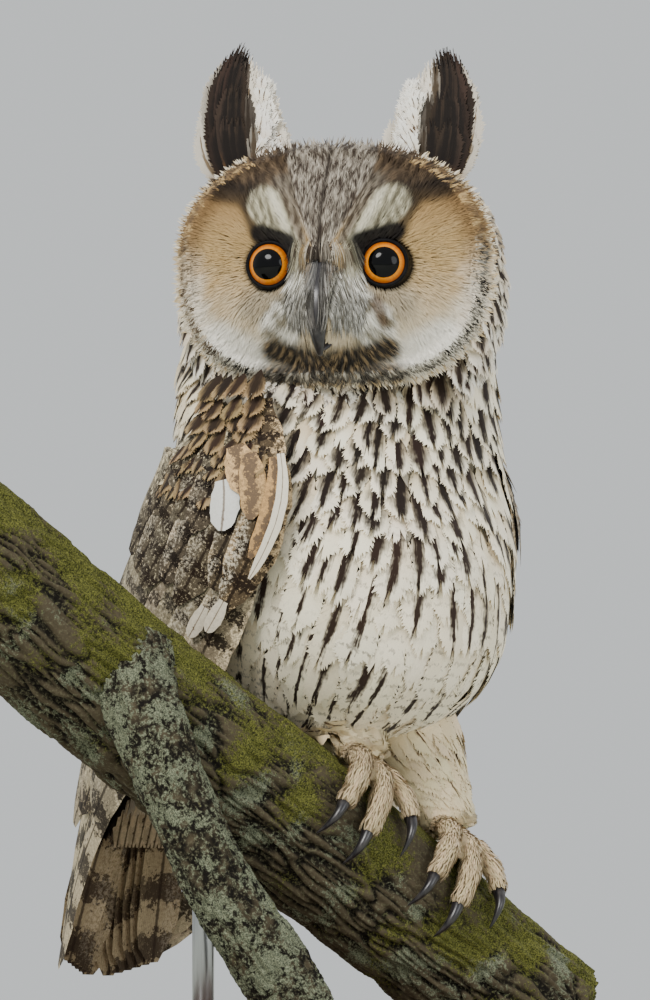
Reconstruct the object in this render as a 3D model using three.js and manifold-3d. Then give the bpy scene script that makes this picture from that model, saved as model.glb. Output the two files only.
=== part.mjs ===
// A life-size long-eared owl, standing on a cut length of branch above a round base.
// Millimetres, +Z up. The origin is the centre of the base's underside, the face looks
// along -Y, and +X is on the owl's left. The body is turned 38 degrees to the owl's left
// of the face, leans well forward, and the tail hangs down behind the branch.
import * as THREE from "three";
import { mergeVertices } from "three/addons/utils/BufferGeometryUtils.js";
import Module from "manifold-3d";

const wasm = await Module();
wasm.setup();

const degrees = Math.PI / 180;
const vector = (x, y, z) => new THREE.Vector3(x, y, z);

// Gap between pieces that meet
const gap = 0.3;

const sides = [
  ["right", -1],
  ["left", 1],
];

// Stand
const baseRadius = 146;
const baseThickness = 14;
const baseEdge = 3;
const rodRadius = 4;
const rodPlaces = [-76, 48];

// Branch: its axis passes under the feet, which stand on either side of branchMiddle
const branchMiddle = vector(35.5, -12, 103);
const branchDirection = vector(1, 0.577, -0.78).normalize();
const branchRadius = 28;
const branchUphill = 206;
const branchDownhill = 102;
const branchTaper = 0.008;
const limbRoute = [
  vector(-44, -72, 180),
  vector(-43, -84, 167),
  vector(-37, -90, 152),
  vector(-31, -92, 136),
  vector(-22, -93, 116),
  vector(-13, -93, 97),
  vector(-2, -92, 80),
  vector(9, -89, 63),
  vector(17, -87, 49),
];
const limbRadius = 13.2;

// Body, in its own frame: x to the owl's left, y to its back, z up from the neck's base
const bodyPlace = vector(30, 12, 274);
const bodyTurn = 38 * degrees;
const bodySections = [
  // back y, back z, front y, front z, half width, turn towards the head
  [8, 62, -18, 54, 26, -48],
  [25, 53, -34, 34, 55, -48],
  [37, 32, -38, 6, 58, -36],
  [50, 9, -52, -28, 62, -16],
  [62, -9, -68, -67, 63, -4],
  [78, -26, -56, -107, 61, 0],
  [95, -45, -4, -126, 53, 0],
  [107, -62, 48, -129, 41, 0],
  [113, -78, 84, -117, 27, 0],
  [115, -88, 103, -104, 14, 0],
];
const neckCut = { height: -8, lean: -24 * degrees };

// Head, in its own frame: x to the owl's left, y to its back, z up from the head's centre
const headPlace = vector(31.5, -10, 328.5);
const headTurn = -10 * degrees;
const discHalfWidth = 56.5;
const discTop = 41;
const discBottom = 46;
const crownSquareness = 2.2;
const chinSquareness = 2.9;
const rimForward = 16;
const faceDome = 26;
const headBack = 50;
const rimPolar = 82 * degrees;
const eyeSpacing = 20.3;
const eyeHeight = -4;
const eyeballRadius = 11;
const eyeballForward = 26;
const eyeTurn = 8 * degrees;
const lidRadius = 8.9;
const lidThickness = 1.5;
const earRoot = vector(31, -7, 33);
const earMiddle = vector(45, -9, 60);
const earTip = vector(35, -1, 83);
const earWidth = 22;
const earVanes = 6;
const earVaneWidth = 9;
const earLength = { right: 1, left: 0.93 };

// Wings: the folded wing's middle line from shoulder to tip, and its half width there
const wingLine = [
  vector(55, -10, 2),
  vector(68, -9, -34),
  vector(70, 22, -71),
  vector(58, 60, -104),
  vector(46, 93, -137),
  vector(35, 121, -170),
  vector(23, 146, -200),
];
const wingHalfWidths = [10, 31, 38, 34, 25, 14, 5];
const wingShift = { right: vector(-1, -5, 0), left: vector(1, 4, 0) };
const wingDepth = 9;
const wrapRadius = 58;

// Tiers of vanes on the wing. Places are [share from shoulder to tip, share of the half width
// from the edge over the back (-1) to the lower front edge (1)], for a tier's first and last
// vane; lifts are the heights of root and tip over the wing's surface.
const wingTiers = [
  // primaries
  {
    count: 6, width: 13.5, steps: 4, lifts: [-1, 0.4],
    roots: [[0.36, 0.1], [0.42, 0.65]], tips: [[0.83, -0.2], [1, 0.2]],
  },
  // secondaries
  {
    count: 5, width: 18.5, steps: 3, lifts: [-0.5, 2.4],
    roots: [[0.36, -1.1], [0.3, 0.5]], tips: [[0.78, -0.8], [0.68, 0.45]],
  },
  // greater coverts
  {
    count: 6, width: 17, steps: 2, lifts: [1, 4.2],
    roots: [[0.28, -0.8], [0.2, 0.75]], tips: [[0.52, -0.7], [0.42, 0.85]],
  },
  // median coverts
  {
    count: 5, width: 18, steps: 2, lifts: [1, 5.2],
    roots: [[0.14, -0.7], [0.06, 0.7]], tips: [[0.34, -0.7], [0.26, 0.8]],
  },
  // lesser coverts
  {
    count: 3, width: 17, steps: 2, lifts: [-0.5, 4.4],
    roots: [[0, -0.6], [0, 0.6]], tips: [[0.17, -0.6], [0.13, 0.6]],
  },
  // scapulars, over the back
  {
    count: 5, width: 19.5, steps: 2, lifts: [1, 4.6],
    roots: [[0.04, -1], [0.34, -1]], tips: [[0.3, -1.55], [0.64, -1.45]],
  },
];
const wingVaneThickness = 0.8;
const wingVaneTilt = 0.16;
const vaneVariation = 0.02;

// Tail
const tailRoot = vector(0, 103, -72);
const tailTip = vector(0, 150, -207);
const tailFeathers = 12;
const tailFeatherWidth = 20;
const tailFeatherThickness = 0.6;
const tailCovertWidth = 13;
const tailCovertPlaces = [-0.5, -0.25, 0.25, 0.5, 0];
const tailCovertSides = [
  { face: 1, lift: 4.5, reach: 0.42 },
  { face: -1, lift: 12.5, reach: 0.5 },
];

// Legs and feet
const footSpread = 23;
const toeRadius = 4.8;
const talonRadius = 2.1;
const hips = { right: vector(-15, -16, -108), left: vector(17, -12, -108) };
const legFlare = 12;
const ankleHeight = 6.5;

// Seeded random numbers in the range 0 to 1
let seed = 7;
function random() {
  seed = (seed * 1664525 + 1013904223) % 4294967296;
  return seed / 4294967296;
}
const vary = (amount) => amount * (2 * random() - 1);

const bodyFrame = new THREE.Matrix4().makeRotationZ(bodyTurn).setPosition(bodyPlace);
const headFrame = new THREE.Matrix4().makeRotationZ(headTurn).setPosition(headPlace);

// Turns a closed geometry into a solid, its faces outwards
function solid(geometry, frame) {
  const plain = new THREE.BufferGeometry();
  const source = geometry.index ? geometry.toNonIndexed() : geometry;
  plain.setAttribute("position", source.getAttribute("position").clone());
  if (frame) plain.applyMatrix4(frame);
  const merged = mergeVertices(plain, 1e-4);
  const corners = Array.from(merged.index.array);
  const kept = [];
  for (let i = 0; i < corners.length; i += 3) {
    const [a, b, c] = corners.slice(i, i + 3);
    if (a !== b && b !== c && a !== c) kept.push(a, b, c);
  }
  const build = (order) =>
    new wasm.Manifold(
      new wasm.Mesh({
        numProp: 3,
        vertProperties: merged.attributes.position.array,
        triVerts: new Uint32Array(order),
      }),
    );
  const made = build(kept);
  return made.volume() < 0 ? build(kept.reverse()) : made;
}

const fuse = (solids) => wasm.Manifold.union(solids);

// The largest closed surface of a solid
function largest(made) {
  return made.decompose().sort((a, b) => b.volume() - a.volume())[0];
}

function geometryOf(made) {
  const mesh = made.getMesh();
  const geometry = new THREE.BufferGeometry();
  geometry.setAttribute("position", new THREE.BufferAttribute(mesh.vertProperties, 3));
  geometry.setIndex(new THREE.BufferAttribute(mesh.triVerts, 1));
  geometry.computeVertexNormals();
  return geometry;
}

// A sphere's grid moved to point(share from pole to pole, angle round the poles)
function warpedSphere(around, along, point) {
  const geometry = new THREE.SphereGeometry(1, around, along);
  const places = geometry.getAttribute("position");
  for (let row = 0; row <= along; row++) {
    for (let column = 0; column <= around; column++) {
      const angle = ((column % around) / around) * 2 * Math.PI;
      const at = point(row / along, angle);
      places.setXYZ(row * (around + 1) + column, at.x, at.y, at.z);
    }
  }
  geometry.deleteAttribute("normal");
  geometry.deleteAttribute("uv");
  return geometry;
}

// A thin plate between two grids of points, both faces split into triangles alike
function plate(across, along, point) {
  const rows = along + 1;
  const columns = across + 1;
  const places = [];
  for (const face of [0, 1])
    for (let j = 0; j < rows; j++)
      for (let i = 0; i < columns; i++)
        places.push(...point((2 * i) / across - 1, j / along, face).toArray());
  const at = (i, j, face) => face * rows * columns + j * columns + i;
  const corners = [];
  const quad = (a, b, c, d) => corners.push(a, b, c, a, c, d);
  for (let j = 0; j < along; j++)
    for (let i = 0; i < across; i++) {
      quad(at(i, j, 0), at(i + 1, j, 0), at(i + 1, j + 1, 0), at(i, j + 1, 0));
      corners.push(at(i, j, 1), at(i + 1, j + 1, 1), at(i + 1, j, 1));
      corners.push(at(i, j, 1), at(i, j + 1, 1), at(i + 1, j + 1, 1));
    }
  for (let i = 0; i < across; i++) {
    quad(at(i + 1, 0, 0), at(i, 0, 0), at(i, 0, 1), at(i + 1, 0, 1));
    quad(at(i, along, 0), at(i + 1, along, 0), at(i + 1, along, 1), at(i, along, 1));
  }
  for (let j = 0; j < along; j++) {
    quad(at(0, j, 0), at(0, j + 1, 0), at(0, j + 1, 1), at(0, j, 1));
    quad(at(across, j + 1, 0), at(across, j, 0), at(across, j, 1), at(across, j + 1, 1));
  }
  const geometry = new THREE.BufferGeometry();
  geometry.setAttribute("position", new THREE.Float32BufferAttribute(places, 3));
  geometry.setIndex(corners);
  return geometry;
}

// A vane's half width as a share of its widest, from root to tip
function vaneOutline(t) {
  if (t < 0.7) return 0.62 + 0.38 * Math.sin((t / 0.7) * Math.PI * 0.5);
  return 1 - 0.68 * ((t - 0.7) / 0.3) ** 2;
}

// One feather's vane along a curve. outward is the side it shows.
function vane(curve, outward, { width, thickness = 0.9, tilt = 0, along = 4 }) {
  return plate(1, along, (s, t, face) => {
    const tangent = curve.getTangent(t);
    const side = tangent.clone().cross(outward).normalize();
    const up = side.clone().cross(tangent).normalize();
    side.applyAxisAngle(tangent, tilt);
    up.applyAxisAngle(tangent, tilt);
    const deep = thickness * (1 - 0.45 * t);
    return curve
      .getPoint(t)
      .addScaledVector(side, (s * width * vaneOutline(t)) / 2)
      .addScaledVector(up, -face * deep);
  });
}

const bend = (a, b, c) => new THREE.CatmullRomCurve3([a, b, c]);

const smooth = (x) => {
  const t = Math.min(Math.max(x, 0), 1);
  return t * t * (3 - 2 * t);
};

// Smooth value through evenly spaced knots, share running from 0 to 1
function through(knots, share) {
  const last = knots.length - 1;
  const place = Math.min(Math.max(share, 0), 1) * last;
  const i = Math.min(Math.floor(place), last - 1);
  const t = place - i;
  const [a, b, c, d] = [i - 1, i, i + 1, i + 2].map((k) => knots[Math.min(Math.max(k, 0), last)]);
  return b + 0.5 * t * (c - a + t * (2 * a - 5 * b + 4 * c - d + t * (3 * (b - c) + d - a)));
}

// Body

function bodyPoint(share, angle, grow) {
  const inset = 0.012;
  const [backY, backZ, frontY, frontZ, half, turn] = [0, 1, 2, 3, 4, 5].map((k) =>
    through(bodySections.map((section) => section[k]), inset + (1 - 2 * inset) * share),
  );
  const forward = vector(0, frontY - backY, frontZ - backZ).multiplyScalar(0.5);
  const reach = forward.length();
  const cap = Math.sqrt(Math.min(1, share / 0.02)) * Math.sqrt(Math.min(1, (1 - share) / 0.02));
  const round = angle - turn * degrees;
  return forward
    .multiplyScalar((Math.cos(round) * cap * (reach + grow)) / reach)
    .add(vector(Math.sin(round) * cap * (half + grow), 0, 0))
    .applyAxisAngle(vector(0, 0, 1), turn * degrees)
    .add(vector(0, (backY + frontY) / 2, (backZ + frontZ) / 2));
}

function bodySolid(grow = 0) {
  const made = warpedSphere(28, 20, (share, angle) => bodyPoint(share, angle, grow));
  return solid(made, bodyFrame);
}

// Head

// The head's outline seen from the front, rounder at the back of the head (rounding 1) than at the disc (0)
function headOutline(angle, rounding) {
  const upper = Math.sin(angle) > 0;
  const height = upper ? discTop : discBottom;
  const squareness = upper ? crownSquareness : chinSquareness - 0.6 * rounding;
  const side = Math.abs(Math.cos(angle) / discHalfWidth) ** squareness;
  const rise = Math.abs(Math.sin(angle) / height) ** squareness;
  return (side + rise) ** (-1 / squareness);
}

const bump = (distance, width) => Math.exp(-((distance / width) ** 2));

function toSegment(x, z, [x0, z0], [x1, z1]) {
  const along = ((x - x0) * (x1 - x0) + (z - z0) * (z1 - z0)) / ((x1 - x0) ** 2 + (z1 - z0) ** 2);
  const t = Math.min(Math.max(along, 0), 1);
  return Math.hypot(x - x0 - t * (x1 - x0), z - z0 - t * (z1 - z0));
}

// How far the face stands forward of the head's centre
function faceForward(x, z, share) {
  const side = Math.abs(x);
  const dome = rimForward + faceDome * (1 - share ** 1.7);
  const dish = -5.5 * bump(Math.hypot(side - eyeSpacing, z - eyeHeight), 15);
  const outerDish = -2.5 * bump(Math.hypot(side - 38, z + 6), 13);
  const ridge = 4 * bump(side, 6.5) * bump(Math.max(z - 6, 0), 22);
  const muzzle = 12 * bump(side, 11) * bump(z + 28, 16);
  const brow = 3.2 * bump(toSegment(side, z, [7, 0], [24, 24]), 5);
  const rim = 3.4 * bump(share - 0.96, 0.05);
  return dome + dish + outerDish + ridge + muzzle + brow + rim;
}

function headPoint(polar, angle, grow) {
  if (polar <= rimPolar) {
    const share = polar / rimPolar;
    const reach = share * (headOutline(angle, 0) + grow);
    const x = Math.cos(angle) * reach;
    const z = Math.sin(angle) * reach;
    return vector(x, -faceForward(x, z, share) - grow, z);
  }
  const turn = ((polar - rimPolar) / (Math.PI - rimPolar)) * 0.5 * Math.PI;
  const outline = headOutline(angle, Math.min(1, turn / 0.9));
  const swell = 1 + 0.17 * Math.sin(2 * turn) * (1 - 0.45 * Math.abs(Math.sin(angle)));
  const reach = Math.cos(turn) ** 0.92 * swell * (outline + grow);
  const y = -rimForward + (headBack + rimForward + grow) * Math.sin(turn);
  return vector(Math.cos(angle) * reach, y, Math.sin(angle) * reach);
}

function headShell(grow = 0) {
  const made = warpedSphere(32, 24, (share, angle) => {
    const polar = Math.PI * (share + 0.03 * Math.sin(2 * Math.PI * share));
    return headPoint(polar, angle + 0.5 * Math.PI, grow);
  });
  return solid(made, headFrame);
}

const eyeCentre = (side) => vector(side * eyeSpacing, -eyeballForward, eyeHeight).applyMatrix4(headFrame);
const eyeAxis = (side) => {
  const turn = side * eyeTurn;
  return vector(Math.sin(turn), -Math.cos(turn), 0).transformDirection(headFrame);
};

function lidSolid(side) {
  const ring = new THREE.TorusGeometry(lidRadius, lidThickness, 6, 20);
  const outwards = Math.sqrt(eyeballRadius ** 2 - lidRadius ** 2) - 0.4;
  const frame = new THREE.Matrix4().makeRotationFromQuaternion(
    new THREE.Quaternion().setFromUnitVectors(vector(0, 0, 1), eyeAxis(side)),
  );
  frame.setPosition(eyeCentre(side).addScaledVector(eyeAxis(side), outwards));
  return solid(ring, frame);
}

function eyeGeometry(grow = 0) {
  return new THREE.SphereGeometry(eyeballRadius + grow, 16, 10);
}

function eyeSocket(side) {
  return solid(eyeGeometry(gap + 0.15), new THREE.Matrix4().setPosition(eyeCentre(side)));
}

// Bill: the upper half is a hook with a nostril on each side, the lower a short scoop beneath it
const billRidge = [vector(0, -40, -10), vector(0, -48.5, -19), vector(0, -50.5, -29), vector(0, -46, -39)];
const billScoop = [vector(0, -33, -29), vector(0, -39, -34), vector(0, -42.5, -36.5)];
const nostril = { place: vector(3.6, -43.5, -16.5), radius: 1 };

function billUpper(grow = 0) {
  const ridge = new THREE.CatmullRomCurve3(billRidge);
  const made = warpedSphere(12, 9, (share, angle) => {
    const t = 0.5 - 0.5 * Math.cos(Math.PI * share);
    const cap = Math.min(1, Math.sqrt(share / 0.1)) * Math.min(1, Math.sqrt((1 - share) / 0.1));
    const half = (6 * (1 - t) ** 0.8 + 0.7 + grow) * cap;
    const deep = (8.5 * (1 - t) ** 0.9 + 1 + grow) * cap;
    const tangent = ridge.getTangent(t);
    const down = vector(0, -tangent.z, tangent.y);
    const drop = (1 - Math.cos(angle)) * 0.5;
    return ridge
      .getPoint(t)
      .addScaledVector(down, -deep * drop * 1.15 + deep * 0.25)
      .add(vector(Math.sin(angle) * half, 0, 0));
  });
  return solid(made, headFrame);
}

function nostrilSolid(side) {
  const hole = new THREE.SphereGeometry(nostril.radius, 8, 6);
  hole.translate(side * nostril.place.x, nostril.place.y, nostril.place.z);
  return solid(hole, headFrame);
}

function billLower(grow = 0) {
  const ridge = new THREE.CatmullRomCurve3(billScoop);
  const made = warpedSphere(10, 7, (share, angle) => {
    const cap = Math.sqrt(Math.sin(Math.PI * share));
    const half = (4.4 * (1 - 0.6 * share) + grow) * cap;
    return ridge.getPoint(share).add(vector(Math.sin(angle) * half, 0, Math.cos(angle) * half * 0.6));
  });
  return solid(made, headFrame);
}

// Ear tufts: vanes side by side, cupped towards the front, longest at the outer edge
function earSolid(name, side) {
  const vanes = [];
  for (let i = 0; i < earVanes; i++) {
    const place = 0.5 - i / (earVanes - 1);
    const shorter = 0.62 * Math.max(0, 0.1 - place) ** 1.2 + 0.5 * Math.max(0, place - 0.15);
    const reach = earLength[name] - shorter;
    const cup = 0.25 - place * place;
    const root = earRoot.clone().add(vector(place * earWidth * 0.75, 4 - 6 * cup, -7));
    const middle = earRoot.clone().lerp(earMiddle, reach).add(vector(place * earWidth, 9 * cup - 2, -2));
    const tip = earRoot.clone().lerp(earTip, reach).add(vector(place * earWidth * 0.42, 0, 0));
    const outward = vector(-place * 1.1, -1, 0.1).normalize();
    const curve = new THREE.QuadraticBezierCurve3(root, middle, tip);
    vanes.push(vane(curve, outward, { width: earVaneWidth, tilt: 0.22 }));
  }
  const core = new THREE.SphereGeometry(1, 10, 7);
  core.scale(11.5, 6, 11);
  core.translate(earRoot.x, earRoot.y + 3, earRoot.z);
  const mirror = new THREE.Matrix4().makeScale(side, 1, 1).premultiply(headFrame);
  const made = fuse([...vanes, core].map((geometry) => solid(geometry, mirror)));
  return largest(made.subtract(headShell(gap)));
}

// Wings

const wingCurve = new THREE.CatmullRomCurve3(wingLine);

// A place on the folded wing, which wraps the body: p from shoulder to tip, q from its
// upper edge over the back (below -1) to its lower front edge (1)
function wingPlace(p, q, lift) {
  const tangent = wingCurve.getTangent(p);
  const outward = vector(1, -0.35 + 1.05 * p, 0.1).normalize();
  const forward = tangent.clone().cross(outward).normalize();
  outward.copy(forward).cross(tangent).normalize();
  const wrap = wrapRadius / (1 - 0.85 * Math.min(1, p));
  const turn = (q * through(wingHalfWidths, p)) / wrap;
  const normal = outward.clone().multiplyScalar(Math.cos(turn)).addScaledVector(forward, Math.sin(turn));
  return {
    at: wingCurve.getPoint(p).addScaledVector(outward, -wrap).addScaledVector(normal, wrap + lift),
    outward: normal,
  };
}

// A vane that follows the folded wing from root to tip, both [p, q]
function wingVane(root, tip, tier) {
  const [start, end] = tier.lifts;
  const points = [0, 1 / 3, 2 / 3, 1].map((t) => {
    const p = root[0] + (tip[0] - root[0]) * t;
    const q = root[1] + (tip[1] - root[1]) * t;
    return wingPlace(p, q, start + (end - start) * t).at;
  });
  const outward = wingPlace((root[0] + tip[0]) / 2, (root[1] + tip[1]) / 2, 0).outward;
  const size = { width: tier.width, thickness: wingVaneThickness, tilt: wingVaneTilt, along: tier.steps };
  return vane(new THREE.CatmullRomCurve3(points), outward, size);
}

// One tier's vanes, spread evenly from its first to its last, their tips a little uneven
function tierVanes(tier) {
  const between = ([first, last], u) => first.map((value, k) => value + (last[k] - value) * u);
  return Array.from({ length: tier.count }, (_, i) => {
    const u = i / (tier.count - 1);
    const [p, q] = between(tier.tips, u);
    return wingVane(between(tier.roots, u), [Math.min(1, p + vary(vaneVariation)), q], tier);
  });
}

function wingCore() {
  return plate(6, 8, (s, t, face) => {
    const p = 0.78 * t;
    const overBack = 0.4 * (1 - smooth((p - 0.42) / 0.3)) * smooth(p / 0.16);
    const q = s * 0.92 + Math.min(0, s) * overBack;
    const edge = Math.sqrt(Math.max(0.04, 1 - s * s)) * Math.sqrt(Math.min(1, 0.12 + t * 4));
    const thin = 1 - 0.8 * t;
    const lift = face ? -wingDepth * 1.3 + 3 * s * s : (1 + 3.5 * edge) * thin - 1.2;
    return wingPlace(p, q, lift).at;
  });
}

function wingSolid(name, side) {
  const mirror = new THREE.Matrix4().makeTranslation(wingShift[name]);
  mirror.multiply(new THREE.Matrix4().makeScale(side, 1, 1)).premultiply(bodyFrame);
  const pieces = [wingCore(), ...wingTiers.flatMap(tierVanes)];
  return fuse(pieces.map((geometry) => solid(geometry, mirror)));
}

// Tail: twelve feathers in a closed fan, the middle pair on top, with coverts over and under their roots
const tailLine = tailTip.clone().sub(tailRoot);
const tailBack = vector(0, -tailLine.z, tailLine.y).normalize();

function tailFeather(i) {
  const pair = Math.floor(i / 2);
  const side = i % 2 ? 1 : -1;
  const drop = -1.8 * pair - (side > 0 ? 0.9 : 0);
  const root = tailRoot.clone().add(vector(side * (2 + pair), 0, 0)).addScaledVector(tailBack, drop * 0.9);
  const spread = vector(side * (4.5 + 3 * pair), 0, 1.6 * pair);
  const tip = tailTip.clone().add(spread).addScaledVector(tailBack, drop);
  const middle = root.clone().lerp(tip, 0.5).addScaledVector(tailBack, 2.5);
  const size = { width: tailFeatherWidth, thickness: tailFeatherThickness, along: 3 };
  return vane(bend(root, middle, tip), tailBack, size);
}

function tailCovert(place, { face, lift, reach }) {
  const outward = tailBack.clone().multiplyScalar(face).add(vector(place * 0.7, 0, 0)).normalize();
  const rise = lift + (place === 0 ? 1.3 : 1.5 * Math.abs(place) - 0.6);
  const root = tailRoot
    .clone()
    .addScaledVector(tailLine, 0.02)
    .add(vector(place * 2 * tailCovertWidth, 0, 0))
    .addScaledVector(outward, rise);
  const tip = root
    .clone()
    .addScaledVector(tailLine, reach * (1 - 0.5 * Math.abs(place)) + vary(vaneVariation))
    .addScaledVector(outward, -lift * 0.35);
  const middle = root.clone().lerp(tip, 0.5).addScaledVector(outward, 2);
  return vane(bend(root, middle, tip), outward, { width: tailCovertWidth, along: 2 });
}

function tailCore() {
  return warpedSphere(12, 8, (share, angle) => {
    const round = Math.sin(Math.PI * share) ** 0.5;
    return tailRoot
      .clone()
      .addScaledVector(tailLine, share * 0.36)
      .add(vector(Math.sin(angle) * 17 * round * (1 - 0.4 * share), 0, 0))
      .addScaledVector(tailBack, Math.cos(angle) * 9.5 * round * (1 - 0.5 * share) - 4);
  });
}

function tailSolid() {
  const feathers = Array.from({ length: tailFeathers }, (_, i) => tailFeather(i));
  const coverts = tailCovertSides.flatMap((side) => tailCovertPlaces.map((place) => tailCovert(place, side)));
  return fuse([...feathers, ...coverts, tailCore()].map((geometry) => solid(geometry, bodyFrame)));
}

// Branch and limb, with slow swellings along them

const branchSide = vector(0, 0, 1).cross(branchDirection).normalize().negate();
const branchUp = branchDirection.clone().cross(branchSide).normalize();
if (branchUp.z < 0) branchUp.negate();

function branchPoint(along, angle, radius) {
  return branchMiddle
    .clone()
    .addScaledVector(branchDirection, along)
    .addScaledVector(branchUp, Math.cos(angle) * radius)
    .addScaledVector(branchSide, Math.sin(angle) * radius);
}

function branchRadiusAt(along, angle) {
  const swell = 0.7 * Math.sin(along / 31 + 2 * Math.cos(angle)) + 0.6 * Math.sin(3 * angle + along / 47);
  const quiet = 1 - 0.8 * bump(along, 45) * Math.max(0, Math.cos(angle));
  return branchRadius - branchTaper * along + swell * quiet;
}

function branchSolid(grow = 0) {
  const rows = 18;
  const made = warpedSphere(20, rows, (share, angle) => {
    const at = Math.min(Math.max((share * rows - 1) / (rows - 2), 0), 1);
    const along = -branchUphill - grow + at * (branchUphill + branchDownhill + 2 * grow);
    const radius = share === 0 || share === 1 ? 0 : branchRadiusAt(along, angle) + grow;
    return branchPoint(along, angle, radius);
  });
  return solid(made);
}

function limbSolid() {
  const route = new THREE.CatmullRomCurve3(limbRoute);
  const rows = 12;
  const made = warpedSphere(14, rows, (share, angle) => {
    const t = Math.min(Math.max((share * rows - 1) / (rows - 2), 0), 1);
    const tangent = route.getTangent(t);
    const side = tangent.clone().cross(vector(0, 1, 0)).normalize();
    const up = side.clone().cross(tangent).normalize();
    const flare = 1 + 0.25 * bump(t, 0.15);
    const swell = 1 + 0.06 * Math.sin(9 * t + 2 * angle);
    const radius = share === 0 || share === 1 ? 0 : limbRadius * flare * swell;
    return route
      .getPoint(t)
      .addScaledVector(side, Math.cos(angle) * radius)
      .addScaledVector(up, Math.sin(angle) * radius);
  });
  return solid(made);
}

// Legs, feet and talons, laid round the branch

const gripHeight = branchRadius + toeRadius + gap;

// Each toe: start and end angle over the branch (front is positive), start and end place along it
const toes = [
  { from: 8, to: 78, start: -4, end: -9 },
  { from: 8, to: 84, start: 3, end: 5 },
  { from: 2, to: 52, start: 7, end: 20 },
  { from: -8, to: -58, start: -2, end: -7 },
];
const talonSweep = 27;

function toePlace(toe, along, t, lift) {
  const angle = (toe.from + (toe.to - toe.from) * t) * degrees;
  const place = along + toe.start + (toe.end - toe.start) * t;
  return branchPoint(place, angle, branchRadiusAt(place, angle) + lift);
}

// The directions away from the branch and across the toe at a place along it
function toeAxes(toe, along, t) {
  const ahead = toePlace(toe, along, t + 0.02, toeRadius).sub(toePlace(toe, along, t - 0.02, toeRadius));
  const outward = toePlace(toe, along, t, 20).sub(toePlace(toe, along, t, 0)).normalize();
  return { outward, side: ahead.cross(outward).normalize() };
}

function toeGeometry(toe, along, grow = 0) {
  const rows = 6;
  return warpedSphere(7, rows, (share, angle) => {
    const t = Math.min(Math.max((share * rows - 1) / (rows - 2), 0), 1);
    const end = share === 0 || share === 1;
    const rounding = t === 0 || t === 1 ? 0.75 : 1;
    const knuckles = 0.06 * Math.cos(6 * Math.PI * t);
    const radius = end ? 0 : (toeRadius * (1.05 - 0.28 * t + knuckles) + grow) * rounding;
    const beyond = end ? (share - 0.5) * (0.07 + grow * 0.05) : 0;
    const lift = toeRadius + gap + 0.8 * Math.sin(Math.PI * t);
    const { outward, side } = toeAxes(toe, along, t);
    return toePlace(toe, along, t + beyond, lift)
      .addScaledVector(side, Math.sin(angle) * radius)
      .addScaledVector(outward, Math.cos(angle) * radius);
  });
}

function talonSolid(toe, along) {
  const to = toe.to + Math.sign(toe.to) * talonSweep;
  const claw = { from: toe.to, to, start: toe.end, end: toe.end + 0.25 * (toe.end - toe.start) };
  const made = warpedSphere(7, 7, (share, angle) => {
    const t = 0.5 - 0.5 * Math.cos(Math.PI * share);
    const radius = share === 0 || share === 1 ? 0 : talonRadius * (1 - t) ** 0.8 + 0.28;
    const arch = 0.9 + 3.8 * (1 - t) + 2.4 * Math.sin(Math.PI * t);
    const { outward, side } = toeAxes(claw, along, t);
    return toePlace(claw, along, t - 0.06, arch)
      .addScaledVector(side, Math.sin(angle) * radius)
      .addScaledVector(outward, Math.cos(angle) * radius * 1.15);
  });
  return solid(made);
}

function footSolid(along, grow = 0) {
  const heel = new THREE.SphereGeometry(1, 10, 7);
  heel.scale(9.5 + grow, 9 + grow, 7.5 + grow);
  const place = branchPoint(along + 1, 0, gripHeight + 3);
  heel.translate(place.x, place.y, place.z);
  return fuse([solid(heel), ...toes.map((toe) => solid(toeGeometry(toe, along, grow)))]);
}

function legSolid(along, hip) {
  const foot = branchPoint(along + 1, 0, gripHeight + 3);
  const top = hip.clone().applyMatrix4(bodyFrame);
  const route = bend(foot, foot.clone().lerp(top, 0.45).add(vector(1, 2, 2)), top);
  const rows = 9;
  const made = warpedSphere(16, rows, (share, angle) => {
    const t = Math.min(Math.max((share * rows - 1) / (rows - 2), 0), 1);
    const radius = share === 0 || share === 1 ? 0 : 9.2 + legFlare * t ** 1.2;
    const tangent = route.getTangent(t);
    const side = tangent.clone().cross(vector(0, 1, 0)).normalize();
    const up = side.clone().cross(tangent).normalize();
    return route
      .getPoint(t)
      .addScaledVector(side, Math.cos(angle) * radius)
      .addScaledVector(up, Math.sin(angle) * radius);
  });
  return solid(made);
}

// A cut through a solid at a plane, leaving the gap between its two sides
function cutInTwo(made, normal, place) {
  const offset = place.dot(normal);
  const back = normal.clone().negate();
  return [
    largest(made.trimByPlane(normal.toArray(), offset + gap / 2)),
    largest(made.trimByPlane(back.toArray(), -offset + gap / 2)),
  ];
}

// Materials
const finish = (color, roughness) => new THREE.MeshStandardMaterial({ color, roughness, metalness: 0 });
const materials = {
  plumage: finish(0xcbbfa8, 0.9),
  faceFeather: finish(0xb79d78, 0.9),
  wingFeather: finish(0x8f7c68, 0.85),
  tuft: finish(0x4a3d35, 0.9),
  eye: finish(0xd98a1a, 0.1),
  horn: finish(0x2a2724, 0.35),
  bark: finish(0x545238, 0.95),
  lichenBark: finish(0x8a9080, 0.95),
  wood: finish(0x3a2a20, 0.5),
  steel: finish(0x55585c, 0.4),
};

const owl = new THREE.Group();

function add(name, geometry, material) {
  const mesh = new THREE.Mesh(geometry, material);
  mesh.name = name;
  owl.add(mesh);
  return mesh;
}

const addSolid = (name, made, material) => add(name, geometryOf(made), material);

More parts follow.
